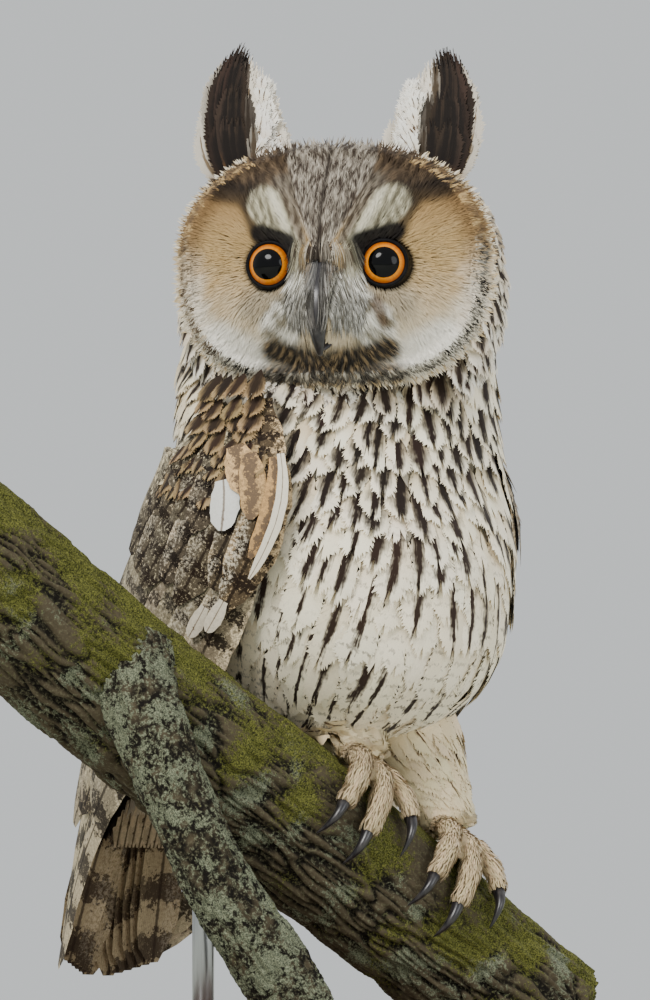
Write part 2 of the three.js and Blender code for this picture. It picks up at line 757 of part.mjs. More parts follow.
// Head and its parts
const billParts = {
  bill_upper: billUpper().subtract(fuse([nostrilSolid(-1), nostrilSolid(1)])),
  bill_lower: billLower().subtract(billUpper(gap)),
};
const hollows = fuse([eyeSocket(-1), eyeSocket(1), billUpper(gap), billLower(gap)]);
const headWithLids = fuse([headShell(), lidSolid(-1), lidSolid(1)]);
addSolid("head", largest(headWithLids.subtract(hollows)), materials.faceFeather);
for (const [name, made] of Object.entries(billParts)) addSolid(name, largest(made), materials.horn);
for (const [name, side] of sides) {
  add(`eye_${name}`, eyeGeometry(), materials.eye).position.copy(eyeCentre(side));
  addSolid(`ear_tuft_${name}`, earSolid(name, side), materials.tuft);
}

// Neck and torso meet at a leaning cut. The head, bill and feet are kept clear of them.
const headGrown = headShell(gap);
const bodyGrown = bodySolid(gap);
const branchGrown = branchSolid(gap);
const feetGrown = fuse(sides.map(([, side]) => footSolid(side * footSpread, gap)));
const whole = bodySolid().subtract(fuse([headGrown, billLower(gap), branchGrown, feetGrown]));
const cutNormal = vector(0, Math.sin(neckCut.lean), Math.cos(neckCut.lean)).transformDirection(bodyFrame);
const cutPlace = vector(0, 0, neckCut.height).applyMatrix4(bodyFrame);
const [neck, torso] = cutInTwo(whole, cutNormal, cutPlace);
addSolid("neck", neck, materials.plumage);
addSolid("torso", torso, materials.plumage);

// Wings and tail lie on the body
const tail = tailSolid();
addSolid("tail", largest(tail.subtract(bodyGrown)), materials.wingFeather);
for (const [name, side] of sides) {
  const wing = wingSolid(name, side).subtract(fuse([bodyGrown, headGrown, branchGrown]));
  addSolid(`wing_${name}`, largest(wing), materials.wingFeather);
}

// Legs and feet
for (const [name, side] of sides) {
  const along = side * footSpread;
  const leg = legSolid(along, hips[name]);
  const ankle = branchPoint(along, 0, gripHeight + ankleHeight);
  const [upper] = cutInTwo(leg.subtract(bodyGrown), branchUp, ankle);
  const [, foot] = cutInTwo(fuse([footSolid(along), leg.subtract(bodyGrown)]), branchUp, ankle);
  addSolid(`leg_${name}`, upper, materials.plumage);
  addSolid(`foot_${name}`, largest(foot.subtract(branchGrown)), materials.plumage);
  const footGrown = fuse([footSolid(along, gap), branchGrown]);
  toes.forEach((toe, i) => {
    addSolid(`talon_${name}_${i + 1}`, largest(talonSolid(toe, along).subtract(footGrown)), materials.horn);
  });
}

// Perch
const branch = branchSolid();
addSolid("perch_branch", branch, materials.bark);
addSolid("perch_limb", largest(limbSolid().subtract(branchGrown)), materials.lichenBark);

// Stand
const baseProfile = [
  [0, 0],
  [baseRadius, 0],
  [baseRadius, baseThickness - baseEdge],
  [baseRadius - baseEdge, baseThickness],
  [0, baseThickness],
].map(([r, z]) => new THREE.Vector2(r, z));
const base = new THREE.LatheGeometry(baseProfile, 56);
base.rotateX(Math.PI / 2);
add("stand_base", geometryOf(solid(base)), materials.wood);
rodPlaces.forEach((along, i) => {
  const axis = branchPoint(along, 0, 0);
  const bottom = baseThickness + gap;
  const rod = new THREE.CylinderGeometry(rodRadius, rodRadius, axis.z - bottom, 16);
  rod.rotateX(Math.PI / 2);
  rod.translate(axis.x, axis.y, (axis.z + bottom) / 2);
  addSolid(`stand_rod_${i + 1}`, largest(solid(rod).subtract(branchGrown)), materials.steel);
});

export default owl;
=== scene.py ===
# %% [markdown]
# # A long-eared owl on its perch
# A museum model of an owl is made of a few hard parts and thousands of feathers. The
# solids of the CAD model give every place and size. This lesson keeps those sizes,
# puts one soft skin under the coat, and then grows the coat feather by feather.

import bmesh
import bpy
import numpy as np
from mathutils import Matrix, Vector, noise
from mathutils.bvhtree import BVHTree
from mathutils.kdtree import KDTree

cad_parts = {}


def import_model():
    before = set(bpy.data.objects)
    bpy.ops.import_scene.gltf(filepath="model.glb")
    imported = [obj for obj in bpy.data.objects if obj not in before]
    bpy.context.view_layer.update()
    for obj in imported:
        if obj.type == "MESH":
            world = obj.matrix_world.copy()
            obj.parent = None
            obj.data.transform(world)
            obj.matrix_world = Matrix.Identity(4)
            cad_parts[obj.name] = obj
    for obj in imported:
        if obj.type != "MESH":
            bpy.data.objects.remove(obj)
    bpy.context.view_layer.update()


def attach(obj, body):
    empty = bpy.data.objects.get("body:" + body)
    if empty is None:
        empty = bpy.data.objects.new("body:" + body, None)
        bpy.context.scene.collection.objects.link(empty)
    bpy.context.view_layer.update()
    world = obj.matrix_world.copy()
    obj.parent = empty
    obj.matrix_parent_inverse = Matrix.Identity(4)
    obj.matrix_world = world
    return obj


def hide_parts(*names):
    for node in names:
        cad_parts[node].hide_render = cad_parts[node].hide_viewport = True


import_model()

# %% [markdown]
# ## Small helpers
# Blender works in metres. An owl is easier to think of in millimetres, so every
# measure below is in millimetres and is scaled once, when a mesh is written.

# %% Vectors and soft steps
MM = 0.001
FULL_TURN = 2 * np.pi
rng = np.random.default_rng(11)


def unit(v):
    return v / np.maximum(np.linalg.norm(v, axis=-1, keepdims=True), 1e-9)


def dot(a, b):
    return np.sum(a * b, axis=-1)


def smooth(x):
    x = np.clip(x, 0, 1)
    return x * x * (3 - 2 * x)


def hill(distance, width):
    return np.exp(-((distance / width) ** 2))


def stack(x, y, z):
    return np.stack(np.broadcast_arrays(x, y, z), axis=-1).astype(float)


def placed(points, turn, place):
    """Turns points about Z by so many degrees and moves them to their place."""
    c, s = np.cos(np.radians(turn)), np.sin(np.radians(turn))
    x, y, z = points[..., 0], points[..., 1], points[..., 2]
    return stack(c * x - s * y, s * x + c * y, z) + np.asarray(place, float)


def tone(code):
    """A colour such as #d8c8a8 in the linear values that shaders use."""
    share = np.array([int(code[i : i + 2], 16) for i in (1, 3, 5)]) / 255
    return np.where(share <= 0.04045, share / 12.92, ((share + 0.055) / 1.055) ** 2.4)


def mixed(a, b, share):
    share = np.asarray(share)[..., None]
    return a * (1 - share) + b * share


# %% [markdown]
# ## Smooth lines
# Body, wings and toes are drawn along smooth lines through a few knots. The first
# helper runs evenly from knot to knot. The second spaces its bends by the distance
# between the knots, which keeps a wing's curve from overshooting.

# %% Lines through knots
def through(knots, share):
    last = len(knots) - 1
    place = np.clip(share, 0, 1) * last
    i = np.minimum(place.astype(int), last - 1)
    t = (place - i)[..., None]
    a, b, c, d = (knots[np.clip(i + k, 0, last)] for k in (-1, 0, 1, 2))
    return b + 0.5 * t * (c - a + t * (2 * a - 5 * b + 4 * c - d + t * (3 * (b - c) + d - a)))


def line(knots, t):
    knots = np.asarray(knots, float)
    ends = np.vstack([2 * knots[0] - knots[1], knots, 2 * knots[-1] - knots[-2]])
    place = np.clip(t, 0, 1) * (len(knots) - 1)
    i = np.minimum(place.astype(int), len(knots) - 2)
    w = (place - i)[..., None]
    a, b, c, d = (ends[i + k] for k in range(4))
    first, middle, last = (np.linalg.norm(v, axis=-1, keepdims=True) ** 0.5 for v in (b - a, c - b, d - c))
    start = ((b - a) / first - (c - a) / (first + middle) + (c - b) / middle) * middle
    end = ((c - b) / middle - (d - b) / (middle + last) + (d - c) / last) * middle
    return b + w * (start + w * (3 * (c - b) - 2 * start - end + w * (2 * (b - c) + start + end)))


def heading(knots, t):
    step = 1e-4
    return unit(line(knots, np.clip(t + step, 0, 1)) - line(knots, np.clip(t - step, 0, 1)))


# %% [markdown]
# ## The body's form
# Each row of numbers is one slanted section of the body, from the neck down to the
# rump. A point on the body is named by its share of the way down and its angle round,
# with 0 at the breast and positive to the owl's left.

# %% Body sections
BODY_PLACE, BODY_TURN = (30, 12, 274), 38
body_sections = np.array([
    # back y, back z, front y, front z, half width, turn towards the head
    [8, 62, -18, 54, 26, -48],
    [25, 53, -34, 34, 55, -48],
    [37, 32, -38, 6, 58, -36],
    [50, 9, -52, -28, 62, -16],
    [62, -9, -68, -67, 63, -4],
    [78, -26, -56, -107, 61, 0],
    [95, -45, -4, -126, 53, 0],
    [107, -62, 48, -129, 41, 0],
    [113, -78, 84, -117, 27, 0],
    [115, -88, 103, -104, 14, 0],
], float)


def to_body_place(points):
    return placed(points, BODY_TURN, BODY_PLACE)


def body_point(share, angle, grow=0.0):
    share = np.asarray(share, float)
    back_y, back_z, front_y, front_z, half, turn = np.moveaxis(
        through(body_sections, 0.012 + 0.976 * share), -1, 0)
    reach = np.hypot(front_y - back_y, front_z - back_z) / 2
    cap = np.sqrt(np.clip(share / 0.02, 0, 1) * np.clip((1 - share) / 0.02, 0, 1))
    turn = np.radians(turn)
    along = np.cos(angle - turn) * cap * (reach + grow) / reach
    across = np.sin(angle - turn) * cap * (half + grow)
    y = (front_y - back_y) / 2 * along
    c, s = np.cos(turn), np.sin(turn)
    return to_body_place(stack(
        c * across - s * y,
        s * across + c * y + (back_y + front_y) / 2,
        (front_z - back_z) / 2 * along + (back_z + front_z) / 2))


print("breast, foremost point:", np.round(body_point(0.45, 0.0), 1))

# %% [markdown]
# ## The head's form
# An owl's face is a shallow dish round each eye, parted by a ridge that ends in the
# bill. It is drawn as a height over the face's own flat outline, and the back of the
# head is a dome behind that outline.

# %% Head, face and eyes
HEAD_PLACE, HEAD_TURN = (31.5, -10, 328.5), -10
FACE_HALF, FACE_TOP, FACE_BOTTOM = 56.5, 41.0, 46.0
RIM_FORWARD, FACE_DOME, HEAD_BACK = 16.0, 26.0, 50.0
RIM_POLAR = np.radians(82)
EYE_SPACING, EYE_HEIGHT, EYE_FORWARD, EYE_TURN, EYE_RADIUS = 20.3, -4.0, 26.0, 8.0, 11.0


def to_head_place(points):
    return placed(points, HEAD_TURN, HEAD_PLACE)


def from_head_place(points):
    return placed(points - np.array(HEAD_PLACE, float), -HEAD_TURN, (0, 0, 0))


def face_outline(angle, rounding=0.0):
    upper = np.sin(angle) > 0
    height = np.where(upper, FACE_TOP, FACE_BOTTOM)
    power = np.where(upper, 2.2, 2.9 - 0.6 * rounding)
    return (np.abs(np.cos(angle) / FACE_HALF) ** power
            + np.abs(np.sin(angle) / height) ** power) ** (-1 / power)


def to_segment(x, z, start, end):
    """Distance from (x, z) to a straight stretch, and how far along the stretch it is."""
    dx, dz = end[0] - start[0], end[1] - start[1]
    t = np.clip(((x - start[0]) * dx + (z - start[1]) * dz) / (dx * dx + dz * dz), 0, 1)
    return np.hypot(x - start[0] - t * dx, z - start[1] - t * dz), t


def face_share(x, z):
    return np.hypot(x, z) / face_outline(np.arctan2(z, x))


def face_forward(x, z, share):
    side = np.abs(x)
    dome = RIM_FORWARD + FACE_DOME * (1 - np.minimum(share, 1) ** 1.7)
    dish = -5.5 * hill(np.hypot(side - EYE_SPACING, z - EYE_HEIGHT), 15)
    dish += -2.5 * hill(np.hypot(side - 38, z + 6), 13)
    ridge = 4 * hill(side, 6.5) * hill(np.maximum(z - 6, 0), 22)
    muzzle = 12 * hill(side, 11) * hill(z + 28, 16)
    brow = 3.2 * hill(to_segment(side, z, (7, 0), (24, 24))[0], 5)
    return dome + dish + ridge + muzzle + brow + 3.4 * hill(share - 0.96, 0.05)


def face_point(x, z):
    share = face_share(x, z)
    return to_head_place(stack(x, -face_forward(x, z, share) + 14 * np.maximum(share - 1, 0), z))


def head_point(polar, angle, grow=0.0):
    polar, angle = np.broadcast_arrays(np.asarray(polar, float), np.asarray(angle, float))
    share = np.minimum(polar / RIM_POLAR, 1)
    front = share * (face_outline(angle) + grow)
    x, z = np.cos(angle) * front, np.sin(angle) * front
    front_y = -face_forward(x, z, share) - grow
    turn = np.clip((polar - RIM_POLAR) / (np.pi - RIM_POLAR), 0, 1) * np.pi / 2
    outline = face_outline(angle, np.minimum(1, turn / 0.9)) + grow
    swell = 1 + 0.17 * np.sin(2 * turn) * (1 - 0.45 * np.abs(np.sin(angle)))
    back = np.maximum(np.cos(turn), 0) ** 0.92 * swell * outline
    back_y = -RIM_FORWARD + (HEAD_BACK + RIM_FORWARD + grow) * np.sin(turn)
    behind = polar > RIM_POLAR
    reach = np.where(behind, back, front)
    return to_head_place(stack(np.cos(angle) * reach, np.where(behind, back_y, front_y),
                               np.sin(angle) * reach))


def eye_centre(side):
    return to_head_place(np.array([side * EYE_SPACING, -EYE_FORWARD, EYE_HEIGHT]))


def eye_axis(side):
    turn = np.radians(side * EYE_TURN)
    return placed(np.array([np.sin(turn), -np.cos(turn), 0.0]), HEAD_TURN, (0, 0, 0))


print("eyes apart, middle to middle:", round(float(np.linalg.norm(eye_centre(1) - eye_centre(-1))), 1))

# %% [markdown]
# ## The wing's form
# A folded wing lies over the body like half a leaf. Its middle line runs from the
# shoulder to the wing's tip, and the surface wraps round the flank on both sides of it.
# p runs down the line, and q runs across, from the back (-1) to the lower edge (1).

# %% Wings
wing_line = np.array([
    (55, -10, 2), (68, -9, -34), (70, 22, -71), (58, 60, -104),
    (46, 93, -137), (35, 121, -170), (23, 146, -200)], float)
wing_halves = np.array([[10], [31], [38], [34], [25], [14], [5]], float)
WING_SHIFT = {"right": (-1, -5, 0), "left": (1, 4, 0)}
WRAP = 58.0
SIDES = {"right": -1, "left": 1}


def wing_point(name, p, q, lift=0.0):
    p, q = np.broadcast_arrays(np.asarray(p, float), np.asarray(q, float))
    inside = np.clip(p, 0, 1)
    tangent = heading(wing_line, inside)
    outward = unit(stack(1.0, -0.35 + 1.05 * inside, 0.1))
    forward = unit(np.cross(tangent, outward))
    outward = unit(np.cross(forward, tangent))
    wrap = (WRAP / (1 - 0.85 * inside))[..., None]
    turn = q[..., None] * through(wing_halves, inside) / wrap
    normal = outward * np.cos(turn) + forward * np.sin(turn)
    middle = line(wing_line, inside) + tangent * ((p - inside) * 240)[..., None]
    points = middle - outward * wrap + normal * (wrap + np.asarray(lift)[..., None])
    points = points * np.array([SIDES[name], 1, 1]) + np.array(WING_SHIFT[name])
    return to_body_place(points)


# %% [markdown]
# ## The perch's form
# The branch runs down to the right, and the feet stand on top of it. Toes and claws
# are placed by their angle round the branch and their place along it.

# %% Branch, toes and claws
BRANCH_MIDDLE = np.array([35.5, -12, 103.0])
BRANCH_WAY = unit(np.array([1, 0.577, -0.78]))
BRANCH_RADIUS, BRANCH_UPHILL, BRANCH_DOWNHILL, BRANCH_TAPER = 28.0, 206.0, 102.0, 0.008
branch_side = -unit(np.cross([0, 0, 1.0], BRANCH_WAY))
branch_up = unit(np.cross(BRANCH_WAY, branch_side))
branch_up = branch_up * np.sign(branch_up[2])
FOOT_SPREAD, TOE_RADIUS, TALON_RADIUS, GAP = 23.0, 4.8, 2.1, 0.3
GRIP_HEIGHT = BRANCH_RADIUS + TOE_RADIUS + GAP


def branch_point(along, angle, radius):
    along, angle, radius = (np.asarray(v, float)[..., None] for v in (along, angle, radius))
    return (BRANCH_MIDDLE + BRANCH_WAY * along + branch_up * np.cos(angle) * radius
            + branch_side * np.sin(angle) * radius)


def branch_radius(along, angle):
    swell = 0.7 * np.sin(along / 31 + 2 * np.cos(angle)) + 0.6 * np.sin(3 * angle + along / 47)
    quiet = 1 - 0.8 * hill(along, 45) * np.maximum(0, np.cos(angle))
    return BRANCH_RADIUS - BRANCH_TAPER * along + swell * quiet


# at: degrees over the branch from its root to its claw, along: the places along the branch
toes = [
    dict(at=(8, 78), along=(-4, -9)),
    dict(at=(8, 84), along=(3, 5)),
    dict(at=(2, 52), along=(7, 20)),
    dict(at=(-8, -58), along=(-2, -7)),
]


def toe_place(toe, foot, t, lift):
    angle = np.radians(toe["at"][0] + (toe["at"][1] - toe["at"][0]) * t)
    place = foot + toe["along"][0] + (toe["along"][1] - toe["along"][0]) * t
    return branch_point(place, angle, branch_radius(place, angle) + lift)


def toe_axes(toe, foot, t):
    ahead = toe_place(toe, foot, t + 0.02, TOE_RADIUS) - toe_place(toe, foot, t - 0.02, TOE_RADIUS)
    outward = unit(toe_place(toe, foot, t, 20.0) - toe_place(toe, foot, t, 0.0))
    return outward, unit(np.cross(ahead, outward))


def toe_point(toe, foot, t, angle, grow=0.0):
    radius = TOE_RADIUS * (1.05 - 0.28 * t + 0.06 * np.cos(6 * np.pi * t)) + grow
    ends = np.sqrt(np.clip((t + 0.06) / 0.12, 0, 1) * np.clip((1.06 - t) / 0.12, 0, 1))
    outward, side = toe_axes(toe, foot, t)
    middle = toe_place(toe, foot, t, TOE_RADIUS + GAP + 0.8 * np.sin(np.pi * np.clip(t, 0, 1)))
    radius = (radius * ends)[..., None]
    return middle + side * np.sin(angle)[..., None] * radius + outward * np.cos(angle)[..., None] * radius


def claw_point(toe, foot, share, angle):
    end = dict(at=(toe["at"][1], toe["at"][1] + np.sign(toe["at"][1]) * 27),
               along=(toe["along"][1], toe["along"][1] + 0.25 * (toe["along"][1] - toe["along"][0])))
    t = 0.5 - 0.5 * np.cos(np.pi * share)
    radius = (TALON_RADIUS * (1 - t) ** 0.8 + 0.2) * np.clip(share / 0.04, 0, 1) ** 0.5
    arch = 0.9 + 3.8 * (1 - t) + 2.4 * np.sin(np.pi * t)
    outward, side = toe_axes(end, foot, t)
    middle = toe_place(end, foot, t - 0.06, arch)
    return (middle + side * (np.sin(angle) * radius)[..., None]
            + outward * (np.cos(angle) * radius * 1.15)[..., None])


HIPS = {"right": (-15, -16, -108), "left": (17, -12, -108)}


def leg_point(name, t, angle, grow=0.0):
    foot = branch_point(SIDES[name] * FOOT_SPREAD + 1, 0.0, GRIP_HEIGHT + 3)
    hip = to_body_place(np.array(HIPS[name], float))
    knots = np.array([foot, foot + (hip - foot) * 0.45 + (1, 2, 2), hip])
    tangent = heading(knots, t)
    side = unit(np.cross(tangent, [0, 1, 0]))
    up = unit(np.cross(side, tangent))
    radius = (9.2 + 12 * np.clip(t, 0, 1) ** 1.2 + grow)[..., None]
    return line(knots, t) + side * np.cos(angle)[..., None] * radius + up * np.sin(angle)[..., None] * radius


print("the branch rises", round(float(-BRANCH_WAY[2] * 100)), "mm in every 100 mm")

# %% [markdown]
# ## Walking over a surface
# A feather starts at a root on the skin and lies along it. To lay thousands of them,
# a small walker steps over a surface: at each step it reads the point, the outward
# normal and the two directions of the surface's own measures, and goes on straight.

# %% A surface to walk on
class Surface:
    def __init__(self, point, inside, low, high):
        self.point, self.inside = point, inside
        self.low, self.high = np.array(low, float), np.array(high, float)

    def read(self, at):
        step = 1e-3
        a, b = at[..., 0], at[..., 1]
        here = self.point(a, b)
        da = (self.point(a + step, b) - self.point(a - step, b)) / (2 * step)
        db = (self.point(a, b + step) - self.point(a, b - step)) / (2 * step)
        normal = unit(np.cross(da, db))
        flip = np.where(dot(normal, here - self.inside(a, b)) < 0, -1.0, 1.0)
        return here, normal * flip[..., None], da, db

    def keep(self, at):
        return np.clip(at, self.low, self.high)


def walk(surface, start, ahead, length, steps):
    """Follows a surface from its places `start` (n, 2) in the directions `ahead` (n, 3)."""
    at, ahead = start.copy(), ahead.copy()
    points, normals = [], []
    for _ in range(steps + 1):
        here, normal, da, db = surface.read(at)
        points.append(here)
        normals.append(normal)
        ahead = unit(ahead - normal * dot(ahead, normal)[:, None])
        stride = ahead * (length / steps)[:, None]
        e, f, g = dot(da, da), dot(da, db), dot(db, db)
        u, v = dot(stride, da), dot(stride, db)
        spread = np.maximum(e * g - f * f, 1e-3 * e * g + 1e-9)
        at = surface.keep(at + np.stack([(g * u - f * v) / spread, (e * v - f * u) / spread], -1))
    return np.stack(points, 1), np.stack(normals, 1)


def scatter(surface, low, high, spacing, tries, seed, keep=None, tall=1.0):
    """Places spread at random, none nearer than `spacing`, or `tall` times that up and down."""
    draw = np.random.default_rng(seed)
    at = np.array(low) + draw.random((tries, 2)) * (np.array(high) - np.array(low))
    here, _, da, db = surface.read(at)
    area = np.linalg.norm(np.cross(da, db), axis=-1)
    chosen = draw.random(tries) < area / np.quantile(area, 0.97)
    if keep is not None:
        chosen &= keep(at, here)
    at, here = at[chosen], here[chosen] / [1, 1, tall]
    near = np.broadcast_to(spacing(at) if callable(spacing) else spacing, len(at))
    cells, kept, size = {}, [], float(near.max())
    for i, (point, gap) in enumerate(zip(here.tolist(), near.tolist())):
        cell = tuple(int(c // size) for c in point)
        close = False
        for x in (-1, 0, 1):
            for y in (-1, 0, 1):
                for z in (-1, 0, 1):
                    for other in cells.get((cell[0] + x, cell[1] + y, cell[2] + z), ()):
                        dx, dy, dz = point[0] - other[0], point[1] - other[1], point[2] - other[2]
                        if dx ** 2 + dy ** 2 + dz ** 2 < gap * gap:
                            close = True
                            break
        if not close:
            cells.setdefault(cell, []).append(point)
            kept.append(i)
    return at[kept]


body = Surface(body_point, lambda a, b: (body_point(a, b) + body_point(a, b + np.pi)) / 2, (0.004, -9),
               (0.996, 9))
head_middle = to_head_place(np.array([0.0, 0.0, 0.0]))
head = Surface(head_point, lambda a, b: np.broadcast_to(head_middle, a.shape + (3,)), (0.02, -9), (3.1, 9))
face = Surface(face_point, lambda a, b: np.broadcast_to(head_middle, a.shape + (3,)), (-75, -65), (75, 60))
wings = {
    name: Surface(lambda a, b, name=name: wing_point(name, a, b),
                  lambda a, b, name=name: wing_point(name, a, b, -5.0), (-0.05, -1.9), (1.0, 1.3))
    for name in SIDES
}
stroll = walk(body, np.array([[0.3, 0.0]]), np.array([[0, 0, -1.0]]), np.array([20.0]), 4)[0][0]
strides = np.linalg.norm(np.diff(stroll, axis=0), axis=1)
print("a walk of 20 mm down the breast is", round(float(strides.sum()), 2), "mm long")

# %% [markdown]
# ## Three kinds of feather
# A strand is one hair-fine barb. A plume is a soft body feather: a shaft with loose
# barbs on both sides, each one its own narrow blade. A vane is a firm feather of the
# wing or tail, whose barbs hold together. Each is a small pattern of points given by
# t, the way along, and s, the way across, which is then laid along a walked line.

# %% Patterns of one feather
def strand_pattern(rows=3):
    t, s, faces = [], [], []
    for i in range(rows):
        share = i / rows
        half = 0.75 + 0.25 * np.sin(np.pi * share) - 0.35 * share
        t += [share, share]
        s += [-half, half]
    t.append(1.0)
    s.append(0.0)
    for i in range(rows - 1):
        a = 2 * i
        faces += [(a, a + 1, a + 3), (a, a + 3, a + 2)]
    faces.append((2 * rows - 2, 2 * rows - 1, 2 * rows))
    return np.array(t), np.array(s), np.array(faces)


def plume_pattern(barbs, seed, broad=0.45, looseness=0.1, sweep=0.2, solid=0.78):
    """Barbs that hold together up to `solid` of their reach, and end in free tips."""
    draw = np.random.default_rng(seed)
    shaft = 1 - sweep
    t = [shaft * i / barbs for i in range(barbs + 1)]
    s = [0.0] * (barbs + 1)
    faces = []
    for side in (-1, 1):
        first = len(t)
        reach = []
        for i in range(barbs + 1):
            u = i / barbs
            wide = 0.55 + 0.45 * np.sin(np.pi / 2 * min(1, u / broad))
            wide = wide * (1 - 0.85 * smooth((u - 0.62) / 0.38) ** 1.3)
            reach.append(wide * (1 + 0.5 * looseness * draw.uniform(-1, 1)))
            t.append(t[i] + sweep * 0.8)
            s.append(side * reach[i] * solid)
        tips = len(t)
        for i in range(barbs):
            t.append(t[i] + sweep * (1 + looseness * draw.uniform(-0.5, 0.9)))
            s.append(side * reach[i] * (1 + looseness * draw.uniform(-0.4, 0.4)))
            a, b, tip = first + i, first + i + 1, tips + i
            near = [(i, i + 1, b), (i, b, a), (a, b, tip)]
            faces += [f[::-1] if side > 0 else f for f in near]
    return np.array(t), np.array(s), np.array(faces)


def vane_pattern(rows, columns, point=0.32, blunt=2.0, notch=0.0, seed=1):
    """A closed vane. point is the share of its length that rounds off, and notch frays its edge."""
    draw = np.random.default_rng(seed)
    t, s, faces = [], [], []
    for j in range(rows + 1):
        along = j / rows
        half = 0.6 + 0.4 * smooth(along / 0.4)
        end = np.clip((along - 1 + point) / point, 0, 1)
        half *= max(0.04, (1 - end ** blunt)) ** (1 / blunt)
        for i in range(columns + 1):
            across = 2 * i / columns - 1
            fray = notch * draw.uniform(-1, 1) * abs(across) if 0 < j < rows else 0
            t.append(along + fray * 0.02)
            s.append(across * half * (1 + 0.06 * fray))
    for j in range(rows):
        for i in range(columns):
            a = j * (columns + 1) + i
            faces += [(a, a + 1, a + columns + 2), (a, a + columns + 2, a + columns + 1)]
    return np.array(t), np.array(s), np.array(faces)


strand = strand_pattern(3)
samples = (strand, plume_pattern(14, 1), vane_pattern(10, 6))
print("triangles in a strand, a plume and a vane:", *(len(pattern[2]) for pattern in samples))

# %% [markdown]
# ## Laying feathers and writing meshes
# Every feather keeps three things for its finish: where a point lies on the feather,
# the two colours of its ground and its marks, and four numbers that say how it is
# marked. The map named OFBake keeps each feather in a small patch of its own, at its
# root's place on an unwrap of the skin. Soft feathers are shaded with the skin's own
# normals, so that down looks like one surface and not like scales.

# %% The coat's mesh
PATCH = 0.003


def lay(pattern, points, normals, width, rise, drop=0.1, roll=0.0, bow=0.0):
    """Lays a pattern along walked lines, and gives each point and its soft normal.

    rise is the height of root and tip over the line.
    """
    t, s, _ = pattern
    steps = points.shape[1] - 1
    k = np.clip(t, 0, 0.9999) * steps
    i, w = k.astype(int), (k - k.astype(int))[:, None]
    middle = points[:, i] * (1 - w) + points[:, i + 1] * w
    up = unit(normals[:, i] * (1 - w) + normals[:, i + 1] * w)
    tangent = np.gradient(points, axis=1)
    ahead = unit(tangent[:, i] * (1 - w) + tangent[:, i + 1] * w)
    reach = np.linalg.norm(points[:, -1] - points[:, 0], axis=-1)[:, None]
    middle = middle + ahead * (np.maximum(t - 0.9999, 0) * reach)[..., None]
    side = unit(np.cross(ahead, up))
    n = len(points)
    width, roll, bow = (np.broadcast_to(v, n)[:, None] for v in (width, roll, bow))
    low, high = (np.broadcast_to(v, n)[:, None] for v in rise)
    side = side * np.cos(roll)[..., None] + up * np.sin(roll)[..., None]
    half = width / 2 * s
    height = low + (high - low) * t ** 0.9 - drop * width / 2 * s * s
    sway = bow * t * t
    places = middle + up * height[..., None] + side * (half + sway)[..., None]
    return np.concatenate([places, unit(up + side * (0.3 * s)[:, None])], -1)


class Coat:
    def __init__(self):
        self.parts = []

    def add(self, pattern, laid, root, ground, mark, marks):
        """root is (n, 2) on the unwrap; ground and mark are colours, marks four numbers a feather."""
        t, s, faces = pattern
        n, m = laid.shape[:2]

        def spread(v, width):
            shaped = v if np.ndim(v) == 3 else np.reshape(v, (-1, 1, width))
            return np.broadcast_to(shaped, (n, m, width)).reshape(-1, width)

        vane = np.broadcast_to(np.stack([s / 2 + 0.5, t], -1), (n, m, 2))
        bake = root[:, None] * (1 - PATCH) + PATCH * np.clip(vane, 0, 1)
        ids = faces[None] + (np.arange(n) * m)[:, None, None]
        self.parts.append((laid.reshape(-1, 6), ids.reshape(-1, 3), vane.reshape(-1, 2), bake.reshape(-1, 2),
                           spread(ground, 3), spread(mark, 3), spread(marks, 4)))

    def write(self, name, finish, slot, nodes=(), soft=True):
        sizes = np.cumsum([0] + [len(p[0]) for p in self.parts])
        faces = np.concatenate([p[1] + start for p, start in zip(self.parts, sizes)])
        points, _, vane, bake, ground, mark, marks = (np.concatenate(v) for v in zip(*self.parts))
        alpha = np.ones((len(points), 1))
        mesh = bpy.data.meshes.new(name)
        mesh.vertices.add(len(points))
        mesh.vertices.foreach_set("co", (points[:, :3] * MM).ravel())
        mesh.loops.add(faces.size)
        mesh.loops.foreach_set("vertex_index", faces.ravel())
        mesh.polygons.add(len(faces))
        mesh.polygons.foreach_set("loop_start", np.arange(0, faces.size, 3))
        mesh.polygons.foreach_set("use_smooth", np.ones(len(faces), bool))
        for title, values in (("Vane", vane), ("OFBake", bake)):
            mesh.uv_layers.new(name=title).data.foreach_set("uv", values[faces.ravel()].ravel())
        channels = {"ground": np.hstack([ground, alpha]), "mark": np.hstack([mark, alpha]), "marks": marks}
        for title, values in channels.items():
            attribute = mesh.color_attributes.new(title, "FLOAT_COLOR", "POINT")
            attribute.data.foreach_set("color", values.ravel())
        mesh.update(calc_edges=True)
        if soft:
            mesh.normals_split_custom_set_from_vertices(points[:, 3:])
        print(f"{name}: {len(faces)} triangles")
        return finished(name, mesh, finish, nodes)


def finished(name, mesh, finish, nodes=()):
    """Puts a mesh into the scene as a piece of the owl, with its finish."""
    piece = bpy.data.objects.new(name, mesh)
    bpy.context.scene.collection.objects.link(piece)
    mesh.materials.append(finish)
    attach(piece, "root")
    for node in nodes:
        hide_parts(node)
    return piece


# %% [markdown]
# ## Rounded forms
# Skin, bill, claws and branch are closed forms. Each starts as Blender's own sphere,
# whose points are then moved onto a form that is named by the share of the way from
# pole to pole and the angle round.

# %% A sphere moved onto a form
def rounded(around, along, point):
    bm = bmesh.new()
    bmesh.ops.create_uvsphere(bm, u_segments=around, v_segments=along, radius=1)
    places = np.array([v.co for v in bm.verts])
    share = np.arccos(np.clip(places[:, 2], -1, 1)) / np.pi
    angle = np.arctan2(places[:, 1], places[:, 0])
    for vert, place in zip(bm.verts, point(share, angle) * MM):
        vert.co = place
    return bm


